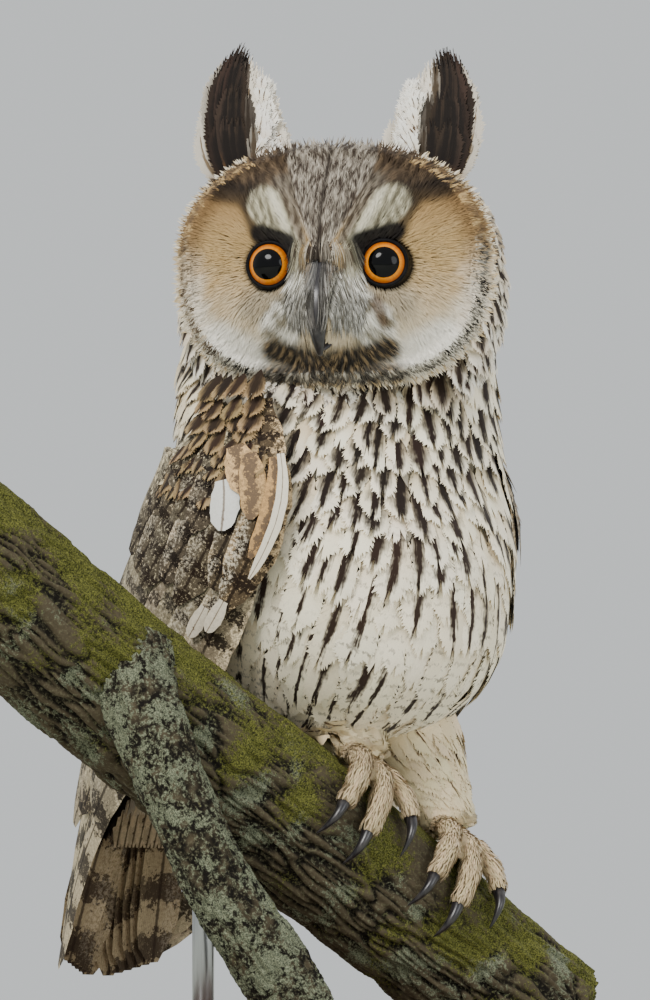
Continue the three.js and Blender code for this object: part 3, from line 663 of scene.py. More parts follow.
def closed(bm, smooth_faces=True):
    bmesh.ops.recalc_face_normals(bm, faces=bm.faces)
    mesh = bpy.data.meshes.new("form")
    bm.to_mesh(mesh)
    bm.free()
    mesh.polygons.foreach_set("use_smooth", np.full(len(mesh.polygons), smooth_faces))
    return mesh


def mesh_points(mesh):
    places = np.empty(len(mesh.vertices) * 3)
    mesh.vertices.foreach_get("co", places)
    return places.reshape(-1, 3) / MM


def paint(mesh, title, values):
    rgba = np.hstack([values, np.ones((len(values), 4 - values.shape[1]))])
    mesh.color_attributes.new(title, "FLOAT_COLOR", "POINT").data.foreach_set("color", rgba.ravel())

# %% [markdown]
# ## Finishes
# A finish is a small tree of nodes. The helper below makes nodes and joins them in
# short calls, so that each finish reads like the recipe of its colours. Numbers that
# are the same all over a surface are set on the shader itself.

# %% A helper for finishes
class Number:
    """A number that varies over a surface. Plus, minus and times make Math nodes."""

    def __init__(self, finish, socket):
        self.finish, self.socket = finish, socket

    def __add__(self, other):
        return self.finish.math("ADD", self, other)

    def __sub__(self, other):
        return self.finish.math("SUBTRACT", self, other)

    def __rsub__(self, other):
        return self.finish.math("SUBTRACT", other, self)

    def __mul__(self, other):
        return self.finish.math("MULTIPLY", self, other)


class Finish:
    def __init__(self, name, roughness, **constants):
        self.material = bpy.data.materials.new(name)
        self.material.use_nodes = True
        self.tree = self.material.node_tree
        self.shader = self.tree.nodes["Principled BSDF"]
        self.shader.inputs["Roughness"].default_value = roughness
        for title, value in constants.items():
            self.shader.inputs[title.replace("_", " ")].default_value = value
        self.flat = self.node("TexCoord", {})["Object"]

    def node(self, kind, values, **settings):
        made = self.tree.nodes.new("ShaderNode" + kind)
        for title, value in settings.items():
            setattr(made, title, value)
        for socket, value in values.items():
            value = getattr(value, "socket", value)
            if isinstance(value, bpy.types.NodeSocket):
                self.tree.links.new(value, made.inputs[socket])
            else:
                if isinstance(value, np.ndarray):
                    value = (*value.tolist(), 1.0)
                made.inputs[socket].default_value = value
        return made.outputs

    def number(self, kind, values, **settings):
        return Number(self, self.node(kind, values, **settings)[0])

    def math(self, operation, a, b=0.0):
        return self.number("Math", {0: a, 1: b}, operation=operation)

    def step(self, value, low, high):
        ends = {0: value, 1: low, 2: high, 3: 0.0, 4: 1.0}
        return self.number("MapRange", ends, interpolation_type="SMOOTHSTEP")

    def mix(self, share, a, b):
        return self.node("Mix", {0: share, 6: a, 7: b}, data_type="RGBA")[2]

    def shade(self, colour, share, amount):
        """Colour times 1 - amount where share is 0, up to 1 + amount where it is 1."""
        scale = share * (2 * amount) + (1 - amount)
        return self.node("VectorMath", {0: colour, "Scale": scale}, operation="SCALE")[0]

    def noise(self, size, detail=2.0, stretch=(1, 1, 1), rough=0.6):
        """Noise whose patches are about `size` millimetres wide."""
        scale = tuple(v / (size * MM) for v in stretch)
        place = self.node("Mapping", {"Vector": self.flat, "Scale": scale})[0]
        return self.number("TexNoise", {"Vector": place, "Scale": 1.0, "Detail": detail, "Roughness": rough})

    def values(self, title):
        """The four channels of one of the piece's attributes, and its colour."""
        out = self.node("Attribute", {}, attribute_name=title)
        parts = self.node("SeparateColor", {0: out["Color"]})
        channels = [Number(self, socket) for socket in (parts[0], parts[1], parts[2], out["Alpha"])]
        return *channels, out["Color"]

    def vane(self):
        """How far across from the shaft (0 to 1), along (0 to 1), and across from edge to edge."""
        place = self.node("SeparateXYZ", {0: self.node("UVMap", {}, uv_map="Vane")[0]})
        edgewise, along = Number(self, place[0]), Number(self, place[1])
        return self.math("ABSOLUTE", edgewise * 2.0 - 1.0), along, edgewise

    def done(self, colour, height=None, strength=0.3, distance=0.3):
        self.tree.links.new(colour, self.shader.inputs["Base Color"])
        if height is not None:
            bump = self.node("Bump", {"Strength": strength, "Distance": distance * MM, "Height": height})[0]
            self.tree.links.new(bump, self.shader.inputs["Normal"])
        return self.material


# %% [markdown]
# ## Feather finishes
# A soft body feather is pale with a dark streak on its shaft, and often a few thin
# bars beside it. The four numbers of each feather say how wide the streak is, how
# strong the bars are, where the bars fall, and how buff its hidden base is. Strands
# carry their colour in the mesh, so that a face's markings run on from one to the next.

# %% Soft plumes and strands
def plume_finish():
    f = Finish("soft plumes", 0.82, Sheen_Weight=0.1, Sheen_Roughness=0.5, Specular_IOR_Level=0.2)
    across, along, edgewise = f.vane()
    ground, mark = f.values("ground")[4], f.values("mark")[4]
    streak, bars, chance, buff, _ = f.values("marks")
    lie = f.node("CombineXYZ", {0: edgewise * 11.0, 1: along * 3.5 - across * 3.0, 2: chance * 37.0})[0]
    fray = f.number("TexNoise", {"Vector": lie, "Scale": 1.0, "Detail": 3.0, "Roughness": 0.65})
    ragged = across + (fray - 0.5) * 0.75 + (f.noise(4.5, 2) - 0.5) * 0.5
    wide = streak * (1.15 - f.step(along, 0.45, 1.0) * 0.95)
    edge = (1.0 - f.step(ragged, wide * 0.25, wide * 1.35 + 0.04)) * f.step(streak, 0.01, 0.04)
    wave = f.math("SINE", (along * 7.0 + chance * 9.0 + fray * 1.4) * FULL_TURN)
    bar = f.step(wave, 0.35, 0.9) * (bars * f.step(f.noise(2.2, 2), 0.42, 0.58))
    colour = f.mix(f.step(along, 0.75, 0.3) * buff, ground, tone("#d3b683"))
    colour = f.mix(f.math("MAXIMUM", edge, bar), colour, mark)
    barbs = f.math("SINE", along * 190.0 + across * -70.0)
    return f.done(f.shade(colour, f.noise(0.45, 2), 0.14), barbs, 0.12, 0.12)


def strand_finish():
    f = Finish("fine strands", 0.8, Sheen_Weight=0.1, Sheen_Roughness=0.5, Specular_IOR_Level=0.2)
    return f.done(f.shade(f.values("ground")[4], f.noise(0.5, 2), 0.15))


# %% [markdown]
# ## Firm vanes
# Feathers of the wing and tail are dark brown, dusted with buff flecks and paler along
# their edges. The numbers say how much pale there is, how strong the bars are, where
# they fall, and how white the outer edge is. Thin slanting lines stand for barbs.

# %% Wing and tail vanes
def vane_finish():
    f = Finish("firm vanes", 0.72, Sheen_Weight=0.03, Specular_IOR_Level=0.15)
    across, along, edgewise = f.vane()
    ground, mark = f.values("ground")[4], f.values("mark")[4]
    pale, bars, chance, white, _ = f.values("marks")
    slow, fine = f.noise(2.6, 3, rough=0.75), f.noise(1.25, 4, rough=0.8)
    centre = 1.3 - pale * 1.6
    dark = 1.0 - f.step(across + (slow - 0.5) * 2.2, centre - 0.1, centre + 0.12)
    peppered = f.step(fine, 0.46, 0.53) * (0.95 - pale * 0.9)
    flecked = f.step(fine, 0.44, 0.36) * 0.7
    dark = f.math("MAXIMUM", dark, peppered) - dark * flecked
    wave = f.math("SINE", (along * 6.0 + chance * 5.0 + slow * 1.1) * FULL_TURN)
    barred = f.math("MAXIMUM", f.step(wave, -0.2, 0.4) * 0.9, f.step(fine, 0.5, 0.62) * 0.3)
    colour = f.mix(dark * (1.0 - bars) + barred * bars, ground, mark)
    edge = f.step(edgewise + slow * 0.3, 0.74, 0.86) * white * f.step(fine, 0.54, 0.44)
    colour = f.mix(edge, colour, tone("#e4d9c3"))
    shaft = f.step(across + (slow - 0.5) * 0.12, 0.1, 0.04) * 0.8
    colour = f.mix(shaft, colour, mark)
    barbs = f.math("SINE", along * 260.0 + across * 60.0)
    colour = f.shade(colour, (barbs + 1.0) * 0.5, 0.06)
    return f.done(f.shade(colour, f.noise(0.6, 2), 0.14), barbs, 0.1, 0.15)


plume_coat, strand_coat, vane_coat = plume_finish(), strand_finish(), vane_finish()

# %% [markdown]
# ## Skin, eyes and horn
# The skin carries the coat's own colours, a little darker, so that a gap between two
# feathers looks like the down below; the darkening is partly the down's own tone and
# partly painted shade in the gaps. The eye is one wet ball: a black pupil, a ring
# of orange with fine spokes, and a dark rim.

# %% Skin, eye, lid and horn
def skin_finish():
    f = Finish("downy skin", 0.9, Specular_IOR_Level=0.1)
    down = f.shade(f.values("ground")[4], f.noise(1.2, 3), 0.3)
    return f.done(down, f.noise(0.8, 2), 0.5)


def eye_finish():
    f = Finish("wet eye", 0.1, Coat_Weight=0.1, Coat_Roughness=0.02, Specular_IOR_Level=0.15)
    away, turn, _, _, _ = f.values("ring")
    spokes = f.number("TexNoise", {"W": turn * 40.0, "Scale": 1.0, "Detail": 2.0}, noise_dimensions="1D")
    ripple = away + (f.noise(0.8, 2) - 0.5) * 0.01
    iris = f.mix(f.step(away, 0.58, 0.72), tone("#dd860f"), tone("#a85406"))
    iris = f.shade(iris, spokes, 0.22)
    iris = f.mix(f.step(away, 0.72, 0.75), iris, tone("#080504"))
    return f.done(f.mix(f.step(ripple, 0.55, 0.565), tone("#020203"), iris))


def horn_finish(name, colour, light, roughness=0.32, **gloss):
    f = Finish(name, roughness, Coat_Roughness=0.25, **gloss)
    growth = f.noise(1.5, 3, (1, 1, 0.3))
    return f.done(f.mix(f.step(growth, 0.35, 0.8), tone(colour), tone(light)), growth, 0.08)


skin_coat, eye_coat = skin_finish(), eye_finish()
horn_coat = horn_finish("dark horn", "#17151a", "#3b3736", Specular_IOR_Level=0.5, Coat_Weight=0.15)
lid_coat = horn_finish("lid skin", "#070607", "#141113", 0.6, Specular_IOR_Level=0.12)

# %% [markdown]
# ## Bark, moss and lichen
# Old bark is dark and cracked, with grey-green lichen in crusts and yellow-green moss
# where it stays damp. The cracks are in the mesh. The colours come from slow noise for
# the patches and fine noise for the grains in them. Low ridge values are near black:
# on the branch they follow the furrows' depth, partly the bark's darker colour and
# partly painted shade.

# %% Bark
def bark_finish(name, lichen_share, moss_share):
    f = Finish(name, 0.92, Specular_IOR_Level=0.15)
    ridge, moss, lichen, _, _ = f.values("bark")
    grain, fine = f.noise(1.4, 4, rough=0.7), f.noise(0.5, 2)
    # Near black where ridge is low: on the branch this is furrow depth, partly the bark's own colour, partly
    # painted shade.
    wood = f.mix(f.step(ridge, 0.25, 0.75), tone("#15120e"), tone("#4b4334"))
    wood = f.mix(f.step(grain, 0.48, 0.66) * 0.6, wood, tone("#6b6750"))
    crust = f.mix(f.step(fine, 0.3, 0.7), tone("#3c4135"), tone("#83876f"))
    green = f.mix(f.step(fine, 0.3, 0.72), tone("#1f230f"), tone("#737338"))
    patch = f.step(lichen + (grain - 0.5) * 2.2, 0.9 - lichen_share, 1.2 - lichen_share)
    damp = f.step(moss + (grain - 0.5) * 1.8, 0.92 - moss_share, 1.25 - moss_share)
    colour = f.mix(damp, f.mix(patch, wood, crust), green)
    return f.done(f.shade(colour, f.noise(0.8, 3), 0.35), grain, 0.7, 0.8)


bark_coat = bark_finish("mossy bark", 0.3, 0.5)
limb_coat = bark_finish("lichen bark", 0.52, 0.15)

# %% [markdown]
# ## One skin
# Under the coat the owl is one smooth body. Trunk, head, rump, legs, toes and the arms
# of the wings are closed forms drawn a few millimetres inside the feathers, and a fine voxel
# mesh joins them, so that no seam shows where they meet.

# %% The skin's forms
BODY_DEPTH, HEAD_DEPTH = 3.5, 2.0


def wing_arm(name):
    def point(share, angle):
        ends = np.sin(np.pi * share)
        p, across = 0.02 + 0.76 * share, np.cos(angle)
        over_back = 0.4 * (1 - smooth((p - 0.42) / 0.3)) * smooth(p / 0.16)
        q = (0.86 * across + np.minimum(0, across) * over_back) * np.clip(ends * 3, 0, 1) ** 0.5
        thick = (1 - 0.5 * share) * 3.4 * np.sin(angle) * np.clip(ends * 3, 0, 1) ** 0.5
        return wing_point(name, p, q, -4.5 + thick)
    return point


def rump(share, angle):
    start, end = np.array([0, 92, -58.0]), np.array([0, 130, -142.0])
    middle = start + (end - start) * share[:, None]
    radius = np.sin(np.pi * share) ** 0.5
    back = unit(np.array([0, 84.0, 38.0]))
    across = np.outer(np.cos(angle) * radius * (24 - 8 * share), [1, 0, 0])
    return to_body_place(middle + across + (np.sin(angle) * radius * 4 - 5)[:, None] * back)


def leg_form(name):
    return lambda share, angle: leg_point(name, share, angle, -2.2 - 7 * (1 - np.sin(np.pi * share) ** 0.35))


forms = [
    (64, 56, lambda share, angle: body_point(share, angle, -BODY_DEPTH)),
    (96, 90, lambda share, angle: head_point(share * np.pi, angle, -HEAD_DEPTH)),
    (24, 16, rump),
]
for name, side in SIDES.items():
    forms.append((28, 24, wing_arm(name)))
    forms.append((24, 20, leg_form(name)))
    for toe in toes:
        foot = side * FOOT_SPREAD
        forms.append((14, 18, lambda share, angle, toe=toe, foot=foot:
                      toe_point(toe, foot, 1.1 * share - 0.05, angle, -0.5)))
joined = bpy.data.meshes.new("joined")
whole = bmesh.new()
for around, along, point in forms:
    part = rounded(around, along, point)
    part.to_mesh(joined)
    part.free()
    whole.from_mesh(joined)
rough = bpy.data.objects.new("rough_skin", closed(whole))
bpy.context.scene.collection.objects.link(rough)
remesh = rough.modifiers.new("join", "REMESH")
remesh.mode, remesh.voxel_size, remesh.use_smooth_shade = "VOXEL", 1.9 * MM, True
relax = rough.modifiers.new("relax", "SMOOTH")
relax.factor, relax.iterations = 0.5, 3
bpy.context.view_layer.update()
skin_mesh = bpy.data.meshes.new_from_object(rough.evaluated_get(bpy.context.evaluated_depsgraph_get()))
bpy.data.objects.remove(rough)
bpy.data.meshes.remove(joined)
flesh = BVHTree.FromPolygons([v.co for v in skin_mesh.vertices], [p.vertices[:] for p in skin_mesh.polygons])
print("skin faces:", len(skin_mesh.polygons))

# %% [markdown]
# ## Settling feathers on the skin
# Where head and body meet, a feather of one would sink into the other. Each laid line
# is therefore checked against the skin, and what lies too deep is lifted out.

# %% Height over the skin
def settled(points, normals, height, form=flesh):
    """Lifts the points of walked lines until they stand at least `height` over a form."""
    points, normals = points.copy(), normals.copy()
    high = np.broadcast_to(height, points.shape[:2])
    for i in np.ndindex(points.shape[:2]):
        place = Vector(points[i] * MM)
        near, normal, _, _ = form.find_nearest(place)
        over = (place - near).dot(normal) / MM
        if over < high[i]:
            points[i] += np.array(normal) * (high[i] - over)
            normals[i] = unit(normals[i] + np.array(normal) * 0.8)
    return points, normals


def over_skin(points):
    """How high each point stands over the skin, in millimetres, below 0 inside it."""
    high = []
    for point in points:
        place = Vector(point * MM)
        near, normal, _, _ = flesh.find_nearest(place)
        high.append((place - near).dot(normal) / MM)
    return np.array(high)

# %% [markdown]
# ## Colours of the face
# The markings of the face are drawn in the face's own measures: x across, z up, both
# in millimetres from the middle. Each marking is a soft patch round a short stretch,
# so the left and right halves match, with a little noise to fray their edges.

# %% The face's markings
BUFF, BROWN, DARK = tone("#b99a69"), tone("#5a432d"), tone("#15100e")
CREAM, WHITE, GREY = tone("#ddd0b6"), tone("#f2eee4"), tone("#8d8678")


def wobble(x, z, size, seed=0.0):
    """Slow waves from -1 to 1, to fray the edge of a marking."""
    bent = x / size + 1.7 * np.sin(z / size * 0.8 + seed)
    return (np.sin(bent) + np.sin(z / size * 1.3 + 2.1 * np.sin(x / size * 0.7 + 2 * seed))) / 2


def patch(x, z, start, end, wide, soft, grow=0.0):
    """1 inside a band from start to end, falling to 0 over `soft` beyond its half width."""
    away, t = to_segment(np.abs(x), z, start, end)
    return smooth(1 - (away - wide - grow * t) / soft)


def forehead(x, z):
    """1 in the mottled wedge that runs up from between the eyes."""
    peak = 1.6 + 11.0 * smooth((z + 8) / 34) + 4.0 * smooth((z - 22) / 14)
    return smooth((peak - np.abs(x)) / 2.0 + 0.5) * smooth((z + 9) / 4)


def eye_distance(x, z):
    """Distance from the middle of the nearer eye."""
    return np.hypot(np.abs(x) - 21.8, z + 4)


def face_colour(x, z):
    """The colour of the face at (x, z)."""
    share = face_share(x, z)
    side = np.abs(x)
    fray = wobble(x, z, 2.1) + 0.6 * wobble(x, z, 0.9, 3.0)
    low = smooth((-z + 6) / 40)
    disc = mixed(np.broadcast_to(BUFF, x.shape + (3,)), CREAM, smooth(0.08 + 0.6 * low + 0.06 * fray))
    disc = mixed(disc, tone("#8d6d43"), 0.75 * smooth((z - 2) / 22) * smooth((side - 24) / 10))
    disc = mixed(disc, tone("#75593a"), 0.7 * smooth((share - 0.8) / 0.14) * smooth((z + 6) / 14))
    disc = mixed(disc, GREY, 0.55 * patch(x, z, (16, -13), (27, -19), 3.0, 7))
    disc = mixed(disc, WHITE, 0.5 * smooth((share - 0.8) / 0.12 + 0.2 * fray) * smooth((8 - z) / 24))
    disc = mixed(disc, WHITE, 0.85 * patch(x, z, (29, -37), (42, -30), 3.0, 6))
    grain = wobble(x * 1.7, z * 0.6, 0.9, 4.0)
    upper = smooth((z - 17 - 0.2 * np.maximum(side - 30, 0)) / 9)
    disc = mixed(disc, mixed(tone("#2a1f17"), tone("#6a5844"), smooth(0.3 + 0.6 * grain + 0.3 * fray)),
                 0.95 * upper)
    disc = mixed(disc, DARK, 0.8 * patch(x, z, (27, 21), (42, 25), 2.0, 5))
    disc = mixed(disc, DARK, 0.8 * patch(x, z, (26, 6), (31, 18), 0.6, 3.2))
    disc = mixed(disc, mixed(tone("#3a3026"), tone("#8a8070"), smooth(0.5 + grain)),
                 0.95 * patch(x, z, (8, -3), (17, 26), 3.0, 2.5))
    brow = patch(x, z, (7.0, -9), (23.5, 18.5), 2.8, 2.0, 2.9)
    hairs = mixed(tone("#7c7560"), tone("#cbc4a9"), smooth(0.5 + 0.8 * grain))
    disc = mixed(disc, hairs, brow)
    disc = mixed(disc, tone("#dfd9c2"), 0.8 * patch(x, z, (12, 4), (20.5, 22), 0.5, 1.8))
    fans = patch(x, z, (5, -13), (17, -27), 4.0, 4.0, 2.5)
    disc = mixed(disc, mixed(tone("#77705f"), WHITE, smooth(0.5 + 0.6 * fray)), 0.92 * fans)
    disc = mixed(disc, DARK, 0.95 * patch(x, z, (12.4, -11), (13.6, 1), 1.4, 2.2))
    disc = mixed(disc, DARK, 0.98 * patch(x, z, (13.5, 3.5), (25.5, 8.0), 2.2, 2.4))
    disc = mixed(disc, DARK, 0.95 * smooth((10.6 - eye_distance(x, z)) / 1.5))
    flecked = mixed(tone("#8a7454"), DARK, smooth(0.95 + 1.3 * wobble(x * 1.5, z, 0.8, 7.0)))
    disc = mixed(disc, flecked, 0.98 * patch(x, z, (3, -40), (22, -35), 2.6, 2.8))
    disc = mixed(disc, BROWN, 0.8 * patch(x, z, (18.5, -18), (20.5, -25), 1.0, 2.4) * (x > 0))
    disc = mixed(disc, flecked, 0.9 * smooth((-z - 38.5) / 3) * smooth((31 - side) / 8))
    spots = wobble(x * 1.4, z, 0.62, 5.0) + 0.5 * wobble(x, z, 1.7, 8.0)
    flecks = mixed(tone("#382c23"), tone("#b4aa9a"), smooth(0.42 + 0.8 * spots))
    flecks = mixed(flecks, tone("#2a211a"), 0.8 * hill(x + 0.8, 1.0))
    return mixed(disc, flecks, forehead(x, z))


def jittered(low, high, spacing, seed):
    """A honeycomb of places, each moved a little at random."""
    draw = np.random.default_rng(seed)
    columns = np.arange(low[0], high[0], spacing)
    rows = np.arange(low[1], high[1], spacing * 0.87)
    x, z = np.meshgrid(columns, rows)
    x = x + (np.arange(len(rows)) % 2)[:, None] * spacing / 2
    at = np.stack([x.ravel(), z.ravel()], -1)
    return at + draw.uniform(-0.42, 0.42, at.shape) * spacing


def face_way(x, z):
    """Which way the strands lie: away from the eye, up over the brow, down beside the bill."""
    side, sign = np.abs(x), np.where(x < 0, -1.0, 1.0)
    away = unit(unit(np.stack([side - 20.5, z + 4], -1)) + np.array([0.3, -0.15]))
    brow = patch(x, z, (7, -2), (22, 20), 5, 4, 4.0)
    ways = mixed(away, np.array([0.48, 0.88]), brow)
    fans = patch(x, z, (4, -12), (14, -30), 6, 6, 2.0)
    ways = mixed(ways, unit(np.stack([0.1 + side * 0.05, np.full_like(side, -1.0)], -1)), fans)
    ways = unit(mixed(ways, np.array([0.12, 1.0]), forehead(x, z)))
    return ways[:, 0] * sign, ways[:, 1]


# %% [markdown]
# ## The facial disc
# The disc's feathers are so open that they look like hair. They are laid as strands
# half a millimetre wide, each one pointing away from the eye, and shortest round it.

# %% Strands of the face
skin_samples = []


def remember(points, colours):
    """Keeps roots and their colours, to paint the skin below with."""
    skin_samples.append((points.reshape(-1, 3), np.broadcast_to(colours, points.shape).reshape(-1, 3)))


def face_bake(at):
    return np.clip(at / np.array([140.0, 120.0]) + 0.5, 0, 1)


def face_ahead(at, spread, draw):
    way_x, way_z = face_way(at[:, 0], at[:, 1])
    turn = draw.normal(0, spread, len(at))
    c, s = np.cos(turn), np.sin(turn)
    return placed(stack(way_x * c - way_z * s, 0.0, way_x * s + way_z * c), HEAD_TURN, (0, 0, 0))


def face_strands(coat, at, length, width, lift, seed, steps=3, spread=0.12, vary=0.08):
    draw = np.random.default_rng(seed)
    n = len(at)
    points, normals = walk(face, at, face_ahead(at, spread, draw), length * draw.uniform(0.8, 1.2, n), steps)
    laid = lay(strand, points, normals, width * draw.uniform(0.75, 1.25, n),
               (lift[0], lift[1] * draw.uniform(0.4, 1.3, n)), 0.0, draw.normal(0, 0.35, n),
               draw.normal(0, 0.4, n))
    local = from_head_place(laid[..., :3])
    colour = face_colour(local[..., 0], local[..., 2]) * (1 + vary * draw.uniform(-1, 1, (n, 1, 1)))
    remember(points[:, 0], colour[:, 0])
    coat.add(strand, laid, face_bake(at), colour, CREAM, np.zeros(4))


disc = Coat()
at = jittered((-60, -50), (60, 44), 0.72, 3)
share, from_eye = face_share(at[:, 0], at[:, 1]), eye_distance(at[:, 0], at[:, 1])
bill_gap = np.maximum(np.abs(at[:, 0]) / 2.6, np.abs(at[:, 1] + 27) / 11) > 1
at = at[(share < 0.975) & (from_eye > 8.6) & bill_gap]
from_eye = eye_distance(at[:, 0], at[:, 1])
face_strands(disc, at, 3.4 + 4.2 * smooth((from_eye - 9) / 14), 0.56, (-0.9, 0.45), 4)
disc.write("coat_face_disc", strand_coat, "face_feathers", ["head"])

# %% [markdown]
# ## Bill and claws
# Bill and claws are black horn. Each is a closed cone bent along a smooth line.

# %% Bill and claws
def bill_upper(share, angle):
    knots = np.array([(0, -40, -10), (0, -48.5, -19), (0, -50.5, -29), (0, -46, -39.0)])
    t = 0.5 - 0.5 * np.cos(np.pi * share)
    cap = np.minimum(1, np.sqrt(share / 0.1)) * np.minimum(1, np.sqrt((1 - share) / 0.1))
    half, deep = (6 * (1 - t) ** 0.8 + 0.7) * cap, (8.5 * (1 - t) ** 0.9 + 1) * cap
    way = heading(knots, t)
    down = stack(0.0, -way[:, 2], way[:, 1])
    drop = (1 - np.cos(angle)) / 2
    middle = line(knots, t) + down * (-deep * drop * 1.15 + 0.25 * deep)[:, None]
    return to_head_place(middle + stack(np.sin(angle) * half, 0, 0))


def bill_lower(share, angle):
    knots = np.array([(0, -33, -29), (0, -39, -34), (0, -42.5, -36.5)], float)
    half = 4.4 * (1 - 0.6 * share) * np.sqrt(np.sin(np.pi * share))
    return to_head_place(line(knots, share) + stack(np.sin(angle) * half, 0, np.cos(angle) * half * 0.6))


bill_mesh = closed(rounded(32, 48, bill_upper))
finished("bill_upper_horn", bill_mesh, horn_coat, ["bill_upper"])
finished("bill_lower_horn", closed(rounded(24, 24, bill_lower)), horn_coat, ["bill_lower"])
for name, side in SIDES.items():
    for k, toe in enumerate(toes, 1):
        claw = rounded(18, 28, lambda share, angle: claw_point(toe, side * FOOT_SPREAD, share, angle))
        finished(f"claw_{name}_{k}", closed(claw), horn_coat, [f"talon_{name}_{k}"])

# %% [markdown]
# ## Bristles over the bill
# Stiff pale bristles grow from between the eyes and beside the bill and nearly cover it.
# Each is walked down the face and brought forward where the bill is in its way, so that
# only a thin ridge and the hooked tip stay free. Those nearest the ridge are darkened
# as painted shade.

# %% Bristles
bristles = Coat()
bill_form = BVHTree.FromPolygons([v.co for v in bill_mesh.vertices],
                                 [p.vertices[:] for p in bill_mesh.polygons])
forward = placed(np.array([0.0, -1.0, 0.0]), HEAD_TURN, (0, 0, 0))


def before(points, normals, form, height):
    """Brings points in front of a form, seen from the front, at least `height` before it."""
    points, normals = points.copy(), normals.copy()
    for i in np.ndindex(points.shape[:2]):
        start = Vector((points[i] + forward * 40) * MM)
        hit, normal, _, _ = form.ray_cast(start, Vector(-forward), 0.06)
        if hit is None:
            continue
        ahead_by = (np.array(hit) / MM - points[i]) @ forward + height[i]
        if ahead_by > 0:
            points[i] += forward * ahead_by
            normals[i] = unit(normals[i] + np.array(normal))
    return points, normals


draw = np.random.default_rng(15)
n = 3400
side = np.where(draw.random(n) < 0.5, -1.0, 1.0)
t = draw.random(n)
at = np.stack([side * (1.0 + 10.5 * draw.random(n) ** 1.1), 5 - 26 * t], -1)
reach = np.abs(at[:, 0])
ahead = placed(stack(side * (-0.02 + 0.06 * reach + draw.normal(0, 0.08, n)), 0.0, -1.0), HEAD_TURN,
               (0, 0, 0))
points, normals = walk(face, at, ahead, draw.uniform(8, 13, n), 5)
high = draw.uniform(0.25, 1.5, n)[:, None] * np.linspace(0.3, 1, 6)
points, normals = before(points, normals, bill_form, high)
laid = lay(strand_pattern(5), points, normals, 0.5 * draw.uniform(0.7, 1.3, n),
           (-0.3, draw.uniform(0.2, 1.0, n)), 0.0, draw.normal(0, 0.3, n), draw.normal(0, 0.4, n))
pale = mixed(tone("#7b7466"), WHITE, smooth(0.6 + 0.35 * draw.normal(0, 1, n)))
pale = mixed(pale, tone("#3a332c"), 0.75 * (draw.random(n) < 0.16))
pale = mixed(face_colour(at[:, 0], at[:, 1]), pale, smooth((t - 0.12) / 0.3))
tips = mixed(pale[:, None], DARK, 0.8 * smooth((strand_pattern(5)[0][None] - 0.5) / 0.5)
             * (t > 0.5)[:, None])
# Painted shade: bristles nearest the bill's ridge are darkened, as if in the shade beside it.
tips = mixed(tips, tone("#2b241e"), (smooth((2.6 - reach) / 1.5) * 0.75)[:, None] * np.ones(11))
bristles.add(strand_pattern(5), laid, face_bake(at), tips, CREAM, np.zeros(4))
remember(points[:, 0], pale)
bristles.write("coat_bill_bristles", strand_coat, "face_feathers")

# %% [markdown]
# ## Growing a coat
# One call grows many feathers: it walks each from its root, lifts the line clear of the
# skin, picks one of a few patterns so that no two neighbours look alike, and keeps the
# root's colour, with which the skin below is painted.

# %% Grow feathers
def grow(coat, surface, patterns, at, ahead, length, width, rise, bake, ground, mark, marks, seed,
         steps=5, drop=0.12, roll=0.12, bow=0.8, clear=None):
    draw = np.random.default_rng(seed)
    n = len(at)
    points, normals = walk(surface, at, ahead, np.broadcast_to(length, n) * draw.uniform(0.88, 1.12, n),
                           steps)
    if clear is not None:
        points, normals = settled(points, normals, clear)
    remember(points[:, :2].mean(1), ground)
    which = draw.integers(0, len(patterns), n)
    values = [np.broadcast_to(width, n) * draw.uniform(0.88, 1.12, n),
              np.broadcast_to(rise[0], n) + draw.uniform(-0.2, 0.2, n),
              np.broadcast_to(rise[1], n) + draw.uniform(-0.3, 0.3, n),
              draw.normal(0, roll, n), draw.normal(0, bow, n)]
    root, tones = bake(at), [np.broadcast_to(ground, (n, 3)), np.broadcast_to(mark, (n, 3))]
    for i, pattern in enumerate(patterns):
        pick = which == i
        if not pick.any():
            continue
        wide, low, high, turn, sway = (v[pick] for v in values)
        laid = lay(pattern, points[pick], normals[pick], wide, (low, high), drop, turn, sway)
        coat.add(pattern, laid, root[pick], tones[0][pick][:, None], tones[1][pick][:, None],
                 marks[pick][:, None])


def numbers(*channels):
    return np.stack(np.broadcast_arrays(*channels), -1).astype(float)


def varied(colour, n, amount, seed):
    """A colour that differs a little from feather to feather."""
    draw = np.random.default_rng(seed)
    shades = 1 + amount * draw.uniform(-1, 1, (n, 1))
    return colour * shades * (1 + 0.25 * amount * draw.uniform(-1, 1, (n, 3)))


# %% [markdown]
# ## Body feathers
# Breast feathers point down and fan out from the middle line. They are broad and soft
# above, with wide dark blotches, and longer below, with a narrow streak on the shaft
# and fine cross-bars. On the back they are firmer and darker, like the wing.

# %% Breast and belly
def body_way(at):
    _, _, _, db = body.read(at)
    share, angle = at[:, 0], at[:, 1]
    turned = (angle + np.pi) % FULL_TURN - np.pi
    fan = np.where(turned < 0, -0.2, -0.06) * smooth(np.abs(turned) / 0.35)
    fan = fan * smooth((2.6 - np.abs(turned)) / 0.8)
    lean = 0.15 + 1.3 * smooth((share - 0.62) / 0.34)
    tailward = placed(np.array([0.0, 1.0, 0.0]), BODY_TURN, (0, 0, 0))
    ahead = np.array([0, 0, -1.0]) + unit(db) * fan[:, None] + tailward * lean[:, None]
    return unit(ahead)


def body_bake(at):
    return np.stack([np.clip((at[:, 1] + np.pi) / FULL_TURN, 0, 1), np.clip(at[:, 0], 0, 1)], -1)


